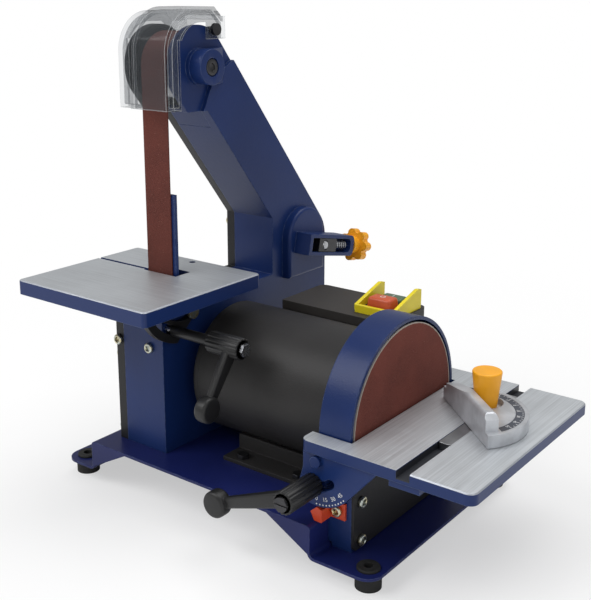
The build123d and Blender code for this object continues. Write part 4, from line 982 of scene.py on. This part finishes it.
@dataclass
class ClampLever:
    """A moulded lever: fluted hub, tapered arm and round thumb pad."""

    hub_radius: float = 8.0 * MM
    hub_length: float = 29.0 * MM
    flutes: int = 14
    arm_low: float = 5.0 * MM
    arm_high: float = 12.5 * MM
    pad_radius: float = 9.5 * MM
    pad_low: float = 3.0 * MM
    pad_high: float = 13.5 * MM
    reach: float = 50.0 * MM
    flute_share: float = 0.87
    collar_share: float = 0.93
    collar_over: float = 2.0 * MM
    arm_share: float = 0.72
    arm_taper: Triple = (1.0, 0.62, 0.72)

    def model(self, name: str) -> bpy.types.Object:
        """Models the lever with its hub along +Z from the origin and its arm along +X.

        Args:
            name: Name of the lever.

        Returns:
            The lever.
        """
        hub = Bench.cylinder(name + "_hub", self.hub_radius, 0.0, self.hub_length, self.flutes * 4)
        Bench.choose(
            hub,
            Part.VERTEX,
            lambda point: (
                round(math.atan2(point.co.y, point.co.x) / (math.pi / (2 * self.flutes))) % 4 == 0
            ),
        )
        bpy.ops.transform.resize(value=(self.flute_share, self.flute_share, 1.0))
        Bench.close()
        Bench.round_off(hub, 0.5 * MM, 2, 60)
        collar_top = self.arm_high + self.collar_over
        collar = Bench.cylinder(name + "_collar", self.hub_radius * self.collar_share, 0.0, collar_top, 40)
        Bench.round_off(collar, 0.8 * MM, 3)
        half = self.hub_radius * self.arm_share
        arm = Bench.cuboid(
            name + "_arm", Vector((0.0, -half, self.arm_low)), Vector((self.reach, half, self.arm_high))
        )
        Bench.choose(arm, Part.FACE, lambda face: face.normal.x > 0.9)
        bpy.ops.transform.resize(value=self.arm_taper)
        Bench.close()
        Bench.round_off(arm, 1.6 * MM, 3)
        pad = Bench.cylinder(name + "_pad", self.pad_radius, self.pad_low, self.pad_high, 40)
        Bench.settle(pad, Matrix.Translation((self.reach, 0, 0)))
        Bench.round_off(pad, 2.4 * MM, 4)
        return Bench.join(name, [hub, collar, arm, pad])


@dataclass
class BaseGroup(SubAssembly):
    """Sheet base, rubber feet and their bolts."""

    def build(self) -> None:
        """Dresses the base."""
        self.wear(Dress.blue_sheet, "base_plate")
        self.wear(Dress.rubber, "rubber_feet")
        # The bolts' dark steel is partly painted shade: those under the motor sit in its shadow.
        self.wear(Dress.dark_steel, "base_bolts")


@dataclass
class MotorGroup(SubAssembly):
    """Motor between the belt and the disc."""

    def build(self) -> None:
        """Dresses the motor and what turns in it."""
        # The saddle wears the housing's black as painted shade: it sits in the motor's shadow.
        self.wear(Dress.black_steel, "motor_housing", "motor_saddle")
        self.wear(Dress.black_steel, "motor_end_bell_left", "motor_end_bell_right")
        self.wear(Dress.core, "stator", "rotor")
        self.wear(Dress.turned, "motor_shaft", "motor_bearings")
        self.wear(Dress.black_plastic, "motor_fan")
        self.wear(Dress.wheel, "run_capacitor")


@dataclass
class DiscGroup(SubAssembly):
    """Disc, its housing, its tilting table and the clamp."""

    pivot: Vector = Vector((98.0, 0.0, 79.5)) * MM
    clamp: Vector = Vector((95.5, 0.0, 62.5)) * MM
    pointer: Vector = Vector((107.0, 0.0, 42.0)) * MM
    lever_run: Vector = Vector((-63.0, 0.0, -24.0)) * MM
    cover_screws: Tuple[float, ...] = (20.0 * MM, 48.0 * MM)
    scale_radius: float = 26.6 * MM
    dot_radius: float = 30.4 * MM
    dot: float = 0.55 * MM
    figure: float = 2.9 * MM
    proud: float = 0.12 * MM
    tilt_marks: Tuple[int, ...] = (0, 15, 30, 45)
    cover_edge: float = 8.5 * MM
    pointer_sunk: float = 2.0 * MM

    def build(self) -> None:
        """Dresses the disc side and adds its lever, scale and screws."""
        self.wear(Dress.blue_cast, "disc_housing", "disc_trunnion_front", "disc_trunnion_rear")
        self.wear(Dress.blue_cast, "disc_pivot_screws")
        self.wear(Dress.black_sheet, "lower_disc_cover")
        self.wear(Dress.wheel, "disc_plate")
        self.wear(Dress.disc_grit, "abrasive_disc")
        self.wear(Dress.disc_top, "disc_table")
        self.wear(Dress.dark_steel, "disc_clamp_bolt")
        self.wear(Dress.pointer_red, "angle_pointer")
        self._lever()
        self._tilt_scale()
        self._screws()

    def _lever(self) -> None:
        """Models the clamp lever over its plain solid."""
        low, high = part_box("disc_table_lever")
        lever = ClampLever(reach=self.lever_run.length, hub_length=high.y - low.y)
        piece = lever.model("disc_clamp_lever")
        spot = Vector((self.clamp.x, low.y, self.clamp.z))
        Bench.settle(piece, facing(spot, BACK, BACK.cross(self.lever_run)))
        self.keep(piece, Dress.black_plastic, "disc_rest_lever", ("disc_table_lever",), "lever_plastic")

    def _tilt_scale(self) -> None:
        """Adds the tilt figures and dots on the front trunnion."""
        low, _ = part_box("disc_trunnion_front")
        centre = Vector((self.pivot.x, low.y, self.pivot.z))
        marks = []
        for angle in range(self.tilt_marks[0], self.tilt_marks[-1] + 1, 5):
            out = self._spoke(angle)
            dot = Bench.cylinder("dot", self.dot, -0.1 * MM, self.proud, 12)
            Bench.round_off(dot, 0.08 * MM, 1)
            marks.append(Bench.settle(dot, facing(centre + out * self.dot_radius, FRONT, -out)))
        for angle in self.tilt_marks:
            out = self._spoke(angle)
            figures = Bench.words("figures", str(angle), self.figure, self.proud)
            marks.append(Bench.settle(figures, facing(centre + out * self.scale_radius, FRONT, -out)))
        self.keep(Bench.join("tilt_scale_marks", marks), Dress.white_ink, "disc_rest")

    @staticmethod
    def _spoke(angle: float) -> Vector:
        """Direction from the pivot to a mark of the tilt scale."""
        turn = math.radians(angle - 90.0)
        return Vector((math.cos(turn), 0.0, math.sin(turn)))

    def _screws(self) -> None:
        """Models the cover's and the pointer's screws."""
        cover_low, cover_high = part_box("lower_disc_cover")
        _, pointer_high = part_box("angle_pointer")
        places = []
        for y in (cover_low.y + self.cover_edge, cover_high.y - self.cover_edge):
            for z in self.cover_screws:
                places.append(facing(Vector((cover_high.x, y, z)), RIGHT, UP))
        spot = Vector((self.pointer.x, pointer_high.y - self.pointer_sunk, self.pointer.z))
        places.append(facing(spot, FRONT, UP))
        row = PanScrew().row("disc_cover_screws", places)
        self.keep(row, Dress.zinc, "machine", ("disc_side_screws",), "zinc_screw")


@dataclass
class MitreGroup(SubAssembly):
    """Mitre gauge in the disc table's slot."""

    middle: Vector = Vector((158.9, -7.7, 0.0)) * MM
    turn: float = math.radians(-41.8)
    tick_from: float = 38.2 * MM
    tick_to: float = 39.6 * MM
    tick_half: float = 0.22 * MM
    long_more: float = 0.9 * MM
    figure_at: float = 35.9 * MM
    figure: float = 2.2 * MM
    proud: float = 0.06 * MM
    sunk: float = 0.05 * MM
    reach: int = 60

    def build(self) -> None:
        """Dresses the gauge and marks its scale."""
        self.wear(Dress.bar_steel, "mitre_bar")
        self.wear(Dress.cast_silver, "mitre_head")
        self.wear(Dress.scale_grey, "mitre_scale")
        self.wear(Dress.orange, "mitre_knob")
        self._scale()

    def _scale(self) -> None:
        """Adds the ticks and figures of the angle scale."""
        _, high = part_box("mitre_scale")
        centre = Vector((self.middle.x, self.middle.y, high.z))
        marks = []
        for angle in range(-self.reach, self.reach + 1, 5):
            bearing = self.turn + math.pi / 2 + math.radians(angle)
            out = Vector((math.cos(bearing), math.sin(bearing), 0.0))
            long = angle % 15 == 0
            start = self.tick_from - (self.long_more if long else 0.0)
            low_corner = Vector((-self.tick_half, start, -self.sunk))
            high_corner = Vector((self.tick_half, self.tick_to, self.proud))
            tick = Bench.cuboid("tick", low_corner, high_corner)
            Bench.round_off(tick, 0.04 * MM, 1)
            marks.append(Bench.settle(tick, facing(centre, UP, out)))
            if long:
                figures = Bench.words("figures", str(abs(angle)), self.figure, self.proud)
                marks.append(Bench.settle(figures, facing(centre + out * self.figure_at, UP, out)))
        self.keep(Bench.join("mitre_scale_marks", marks), Dress.white_ink, "mitre_gauge")


@dataclass
class BeltGroup(SubAssembly):
    """Belt, its wheels, the C-shaped arm, cover, guard and table.

    Wheels (y, z and radius), cover bosses (y, z), post screws (x, z) and the belt's gap are in millimetres.
    """

    wheels: Tuple[Triple, ...] = (
        (-13.2, 91.5, 43.5),
        (-32.7, 324.3, 24.0),
        (93.3, 167.7, 24.0),
    )
    cover_bosses: Tuple[Tuple[float, float], ...] = (
        (-74.8, 43.5),
        (-74.8, 104.0),
        (82.0, 49.5),
        (56.2, 186.0),
        (17.7, 261.7),
    )
    post_screws: Tuple[Tuple[float, float], ...] = ((-99.5, 118.0), (-66.5, 118.0))
    clamp: Vector = Vector((0.0, -76.0, 134.0)) * MM
    lever_run: Vector = Vector((0.0, -26.0, -38.0)) * MM
    lever_reach: float = 47.0 * MM
    sleeve_radius: float = 4.0 * MM
    belt_gap: float = 0.3
    belt_thickness: float = 1.0 * MM
    belt_sides: int = 144
    boss_from: float = -56.0 * MM
    boss_height: float = 14.0 * MM
    boss_foot: float = 3.4 * MM
    boss_radius: float = 13.0 * MM
    boss_run: float = 23.0 * MM
    bolt_radius: float = 6.0 * MM
    bolt_height: float = 2.1 * MM
    bolt_sunk: float = 0.3 * MM
    seat_clear: float = 0.9 * MM
    seat_depth: float = 2.0 * MM
    socket_share: float = 0.52
    socket_depth: float = 1.5 * MM
    knee: Vector = Vector((0.0, 49.0, 196.0)) * MM
    head_bottom: Vector = Vector((0.0, -26.9, 291.4)) * MM
    arm_left: float = -94.5 * MM
    arm_right: float = -60.4 * MM
    arm_wall: float = 3.2 * MM
    lip_length: float = 18.6 * MM
    lip_sunk: float = 0.01 * MM

    def build(self) -> None:
        """Dresses the belt side and adds its belt, lever, screws, head boss and the arm's lip."""
        self.wear(Dress.blue_cast, "belt_frame")
        self.wear(Dress.black_sheet, "belt_cover", "belt_table_bracket")
        self.wear(Dress.blue_plate, "platen")
        self.wear(Dress.wheel, "drive_wheel", "top_wheel", "rear_wheel")
        self.wear(Dress.turned, "top_wheel_bearings", "rear_wheel_bearings", "belt_clamp_rod")
        self.wear(Dress.dark_steel, "top_wheel_axle", "guard_screw")
        self.wear(Dress.zinc, "bracket_screws", "tilt_guide_screw")
        self.wear(Dress.belt_top, "belt_table")
        self.wear(Dress.clear, "belt_guard")
        self._belt()
        self._lever()
        self._screws()
        self._head_boss()
        self._arm_lip()

    def _head_boss(self) -> None:
        """Models the head's raised boss, which runs out into the arm, and the bolt sunk in it."""
        y, z, _ = self.wheels[1]
        radius, height = self.boss_radius, self.boss_height
        over = height + MM
        boss = Bench.cylinder("head_boss", radius, 0.0, height, 48)
        run_out = Bench.cuboid(
            "run_out", Vector((0.0, -radius, 0.0)), Vector((self.boss_run, radius, height))
        )
        Bench.choose(run_out, Part.VERTEX, lambda point: point.co.x > 0.0 and point.co.z > 0.0)
        bpy.ops.transform.translate(value=(0.0, 0.0, self.boss_foot - height))
        Bench.close()
        Bench.cut(boss, run_out, "UNION")
        seat = Bench.cylinder("seat", self.bolt_radius + self.seat_clear, height - self.seat_depth, over, 40)
        Bench.cut(boss, seat)
        Bench.round_off(boss, 1.4 * MM, 4)
        top = height - self.bolt_sunk
        bolt = Bench.cylinder("axle_bolt_head", self.bolt_radius, top - self.bolt_height, top, 36)
        socket_radius = self.socket_share * self.bolt_radius
        Bench.cut(bolt, Bench.cylinder("socket", socket_radius, top - self.socket_depth, over, 6))
        Bench.round_off(bolt, 0.4 * MM, 2)
        place = facing(Vector((self.boss_from, y * MM, z * MM)), RIGHT, UP)
        Bench.settle(boss, place)
        Bench.settle(bolt, place)
        self.keep(Bench.join("head_boss", [boss]), Dress.blue_cast, "machine", (), "blue_casting")
        self.keep(bolt, Dress.dark_steel, "machine", (), "shaft_steel")

    def _arm_lip(self) -> None:
        """Models the arm's inner wall on its last stretch, up to the underside of the head."""
        rise = (self.head_bottom - self.knee).normalized()
        outward = Vector((0.0, -rise.z, rise.y))
        low = Vector((self.arm_left, -self.lip_length, -self.arm_wall))
        high = Vector((self.arm_right, 0.0, -self.lip_sunk))
        lip = Bench.settle(Bench.cuboid("arm_lip", low, high), facing(self.head_bottom, outward, rise))
        self.keep(lip, Dress.blue_cast, "machine", (), "blue_casting")

    def _belt(self) -> None:
        """Models the belt as a ring laid round the three wheels."""
        low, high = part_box("sanding_belt")
        ring = Bench.cylinder("abrasive_belt", 1.0, low.x, high.x, self.belt_sides)
        Bench.settle(ring, Matrix.Rotation(math.pi / 2, 4, "Y"))
        Bench.choose(ring, Part.FACE, lambda face: abs(face.normal.x) > 0.9)
        bpy.ops.mesh.delete(type="ONLY_FACE")
        Bench.close()
        for y, z, radius in self.wheels:
            Bench.choose(ring, Part.VERTEX, lambda point: self._nearest(point.co) == (y, z, radius))
            size = (radius + self.belt_gap) * MM
            bpy.ops.transform.resize(value=(1.0, size, size), center_override=(0, 0, 0))
            bpy.ops.transform.translate(value=(0.0, y * MM, z * MM))
            Bench.close()
        wall = ring.modifiers.new("wall", "SOLIDIFY")
        wall.thickness = self.belt_thickness
        wall.offset = 1.0
        wall.material_offset = 0
        Bench.only(ring)
        bpy.ops.object.modifier_apply(modifier=wall.name)
        bpy.ops.object.shade_smooth_by_angle(angle=SMOOTH)
        self.dress.put(ring, Dress.grit, Dress.backing)
        self.keep(ring, Dress.grit, "machine", ("sanding_belt",), "abrasive_cloth")

    def _nearest(self, point: Vector) -> Triple:
        """The wheel that carries the belt where its normal points like a place on the ring.

        Args:
            point: A vertex of the ring.

        Returns:
            The wheel, or zeros where the vertex has left the ring of radius 1.
        """
        if abs(point.y * point.y + point.z * point.z - 1.0) > 0.01:
            return (0.0, 0.0, 0.0)
        return max(self.wheels, key=lambda wheel: wheel[0] * point.y + wheel[1] * point.z + wheel[2])

    def _lever(self) -> None:
        """Models the table's clamp lever over its plain solid."""
        low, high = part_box("belt_table_lever")
        lever = ClampLever(
            reach=self.lever_reach,
            arm_low=7.0 * MM,
            arm_high=14.0 * MM,
            pad_low=5.5 * MM,
            pad_high=15.5 * MM,
        )
        piece = lever.model("belt_clamp_lever")
        spot = Vector((high.x, self.clamp.y, self.clamp.z))
        Bench.settle(piece, facing(spot, LEFT, LEFT.cross(self.lever_run)))
        sleeve_end = high.x - 0.9 * lever.hub_length
        sleeve = Bench.cylinder("sleeve", self.sleeve_radius, low.x, sleeve_end, 28)
        Bench.round_off(sleeve, 0.4 * MM, 2)
        turn = Matrix.Rotation(math.pi / 2, 4, "Y")
        Bench.settle(sleeve, Matrix.Translation((0, self.clamp.y, self.clamp.z)) @ turn)
        whole = Bench.join("belt_clamp_lever", [piece, sleeve])
        self.keep(whole, Dress.black_plastic, "belt_rest_lever", ("belt_table_lever",), "lever_plastic")

    def _screws(self) -> None:
        """Models the screws of the cover and the post."""
        cover_low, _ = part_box("belt_cover")
        frame_low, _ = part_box("belt_frame")
        places = [
            facing(Vector((cover_low.x, y * MM, z * MM)), LEFT, UP)
            for y, z in self.cover_bosses
        ]
        for x, z in self.post_screws:
            spot = Vector((x * MM, frame_low.y, z * MM))
            places.append(facing(spot, FRONT, UP))
        row = PanScrew().row("belt_side_screw_heads", places)
        self.keep(row, Dress.zinc, "machine", ("belt_side_screws",), "zinc_screw")


@dataclass
class TensionGroup(SubAssembly):
    """Sliding axle, screw, spring and star knob that tighten the belt."""

    axle: Vector = Vector((-37.25, 93.3, 167.7)) * MM
    lean: float = math.radians(-12.0)
    spring_from: float = 16.3 * MM
    spring_to: float = 36.7 * MM
    spring_radius: float = 4.5 * MM
    wire: float = 0.7 * MM
    turns: int = 6

    def build(self) -> None:
        """Dresses the tensioner and winds its spring."""
        self.wear(Dress.dark_steel, "tension_slide", "tension_washer")
        self.wear(Dress.turned, "rear_wheel_axle", "tension_rod")
        self.wear(Dress.orange, "tension_knob")
        self._spring()

    def _along(self, distance: float) -> Vector:
        """A point on the screw's axis."""
        return self.axle + self._axis() * distance

    def _axis(self) -> Vector:
        """Direction of the screw, outwards."""
        return Vector((0.0, math.cos(self.lean), math.sin(self.lean)))

    def _spring(self) -> None:
        """Winds the spring that opens the slide."""
        Bench.clear()
        bpy.ops.mesh.primitive_circle_add(vertices=12, radius=self.wire, fill_type="NGON")
        coil = bpy.context.active_object
        coil.name = "tension_coil"
        turn = Matrix.Rotation(math.pi / 2, 4, "X")
        Bench.settle(coil, Matrix.Translation((self.spring_radius, 0, 0)) @ turn)
        pitch = (self.spring_to - self.spring_from - 2 * self.wire) / self.turns
        winding = coil.modifiers.new("winding", "SCREW")
        winding.axis = "Z"
        winding.angle = 2 * math.pi
        winding.screw_offset = pitch
        winding.iterations = self.turns
        winding.steps = winding.render_steps = 24
        winding.use_merge_vertices = True
        winding.merge_threshold = 0.00001
        Bench.only(coil)
        bpy.ops.object.modifier_apply(modifier=winding.name)
        bpy.ops.object.mode_set(mode="EDIT")
        bpy.ops.mesh.select_all(action="SELECT")
        bpy.ops.mesh.normals_make_consistent(inside=False)
        Bench.close()
        bpy.ops.object.shade_smooth_by_angle(angle=math.radians(50))
        Bench.settle(coil, facing(self._along(self.spring_from + self.wire), self._axis(), RIGHT))
        self.dress.put(coil, Dress.turned)
        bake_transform(coil)
        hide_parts("tension_spring")
        self.built.append(coil.name)


@dataclass
class SwitchGroup(SubAssembly):
    """Switch box behind the motor, with its bezel and keys."""

    taper: Triple = (0.9, 0.9, 1.0)
    rounding: float = 2.2 * MM
    mark_height: float = 4.2 * MM
    mark_thickness: float = 0.1 * MM
    mark_sunk: float = 0.06 * MM

    def build(self) -> None:
        """Dresses the box, bezel and keys."""
        self.wear(Dress.box_plastic, "switch_box")
        self.wear(Dress.black_plastic, "switch_body", "cable_gland")
        self.wear(Dress.yellow, "switch_bezel")
        self._key("stop", "O", Dress.stop_red, "stop_red")
        self._key("start", "I", Dress.start_green, "start_green")

    def _key(self, name: str, mark: str, finish: Finish, slot: str) -> None:
        """Models one key with softly rounded edges and its mark.

        Args:
            name: stop or start.
            mark: The mark on its top.
            finish: Its finish.
            slot: The record's material slot of that finish.
        """
        low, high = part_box(name + "_button")
        key = Bench.cuboid(name + "_key_cap", low, high)
        Bench.choose(key, Part.FACE, lambda face: face.normal.z > 0.9)
        bpy.ops.transform.resize(value=self.taper)
        Bench.close()
        Bench.round_off(key, self.rounding, 4)
        self.keep(key, finish, name + "_key", (name + "_button",), slot)
        sign = Bench.words(name + "_key_mark", mark, self.mark_height, self.mark_thickness)
        spot = Vector(((low.x + high.x) / 2, (low.y + high.y) / 2, high.z - self.mark_sunk))
        self.keep(Bench.settle(sign, Matrix.Translation(spot)), Dress.white_ink, name + "_key")


@dataclass
class Studio:
    """Camera, lamps, world and floor."""

    azimuth: float = 37.4
    elevation: float = 13.95
    place: Vector = Vector((450.3, -577.9, 377.2)) * MM
    focal_px: float = 997.8
    long_side_px: float = 600.0
    sensor: float = 36.0
    shift_px: float = -60.0
    floor_size: float = 8.0
    floor_drop: float = 0.2 * MM
    fade: Tuple[float, float] = (0.25, 0.75)
    world_light: float = 0.4
    aim: Vector = Vector((0.0, 0.0, 0.15))

    def build(self) -> None:
        """Sets up the whole studio."""
        self._camera()
        self._world()
        self._floor()
        self._lamp("key", Vector((-0.9, -1.3, 1.7)), 1.3, 22.0)
        self._lamp("fill", Vector((1.7, -1.1, 0.9)), 1.4, 6.0)
        self._lamp("top", Vector((0.2, 0.5, 1.9)), 1.6, 19.0)
        bpy.context.scene.view_settings.view_transform = "Standard"

    def _camera(self) -> None:
        """Adds the camera at the photograph's viewpoint."""
        data = bpy.data.cameras.new("viewpoint")
        data.sensor_width = self.sensor
        data.sensor_fit = "AUTO"
        data.lens = self.focal_px * self.sensor / self.long_side_px
        data.shift_y = self.shift_px / self.long_side_px
        camera = bpy.data.objects.new("viewpoint", data)
        bpy.context.scene.collection.objects.link(camera)
        side, rise = math.radians(self.azimuth), math.radians(self.elevation)
        level = Vector((math.sin(side), -math.cos(side), 0.0)) * math.cos(rise)
        back = level + UP * math.sin(rise)
        camera.location = self.place
        camera.rotation_mode = "QUATERNION"
        camera.rotation_quaternion = (-back).to_track_quat("-Z", "Y")
        bpy.context.scene.camera = camera

    def _world(self) -> None:
        """Gives a soft grey light that looks white from the camera."""
        world = bpy.data.worlds.new("studio")
        bpy.context.scene.world = world
        world.use_nodes = True
        tree = world.node_tree
        tree.nodes.clear()
        path = tree.nodes.new("ShaderNodeLightPath")
        seen = tree.nodes.new("ShaderNodeMath")
        seen.operation = "MAXIMUM"
        tree.links.new(path.outputs["Is Camera Ray"], seen.inputs[0])
        tree.links.new(path.outputs["Is Transmission Ray"], seen.inputs[1])
        bright = tree.nodes.new("ShaderNodeMapRange")
        bright.inputs["To Min"].default_value = self.world_light
        bright.inputs["To Max"].default_value = 1.0
        tree.links.new(seen.outputs[0], bright.inputs["Value"])
        back = tree.nodes.new("ShaderNodeBackground")
        back.inputs["Color"].default_value = (1.0, 1.0, 1.0, 1.0)
        tree.links.new(bright.outputs["Result"], back.inputs["Strength"])
        out = tree.nodes.new("ShaderNodeOutputWorld")
        tree.links.new(back.outputs[0], out.inputs["Surface"])

    def _floor(self) -> None:
        """Lays the pale floor, which fades to plain white away from the machine."""
        Bench.clear()
        bpy.ops.mesh.primitive_plane_add(size=self.floor_size, location=(0, 0, -self.floor_drop))
        floor = bpy.context.active_object
        floor.name = "floor"
        graph = Graph("pale_floor")
        cloud = graph.noise(graph.place(), 1.5, 2.0)
        path = graph.add("ShaderNodeLightPath")
        pale = graph.mix(cloud, (0.93, 0.93, 0.93), (0.96, 0.96, 0.96))
        diffuse = graph.add("ShaderNodeBsdfDiffuse", None, {"Color": pale})
        glow = graph.add("ShaderNodeEmission", None, {"Color": (1.0, 1.0, 1.0), "Strength": 1.0})
        far = graph.span(graph.place((1.0, 1.0, 0.0))).within(*self.fade)
        share = Wire(graph, path.outputs["Is Camera Ray"]) * (0.5 + far * 0.5)
        floor.data.materials.append(graph.between(share, diffuse, glow))

    def _lamp(self, name: str, place: Vector, size: float, power: float) -> None:
        """Adds a soft square lamp that looks at the machine.

        Args:
            name: Name of the lamp.
            place: Where it stands.
            size: Its width.
            power: Its power in watts.
        """
        data = bpy.data.lights.new(name, "AREA")
        data.size = size
        data.energy = power
        lamp = bpy.data.objects.new(name, data)
        bpy.context.scene.collection.objects.link(lamp)
        lamp.location = place
        lamp.rotation_mode = "QUATERNION"
        lamp.rotation_quaternion = (self.aim - place).to_track_quat("-Z", "Y")


def main() -> None:
    """Builds the machine's looks and its studio."""
    logging.basicConfig(level=logging.INFO, format="%(name)s: %(message)s")
    bpy.ops.wm.read_factory_settings(use_empty=True)
    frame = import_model()
    dress = Dress()
    groups: Sequence[SubAssembly] = (
        BaseGroup(dress, frame["nodes"]),
        MotorGroup(dress, frame["nodes"]),
        DiscGroup(dress, frame["nodes"]),
        MitreGroup(dress, frame["nodes"]),
        BeltGroup(dress, frame["nodes"]),
        TensionGroup(dress, frame["nodes"]),
        SwitchGroup(dress, frame["nodes"]),
    )
    for group in groups:
        group.build()
        for name in group.built:
            log.info("%s built %s", type(group).__name__, name)
    Studio().build()


if __name__ == "__main__":
    main()
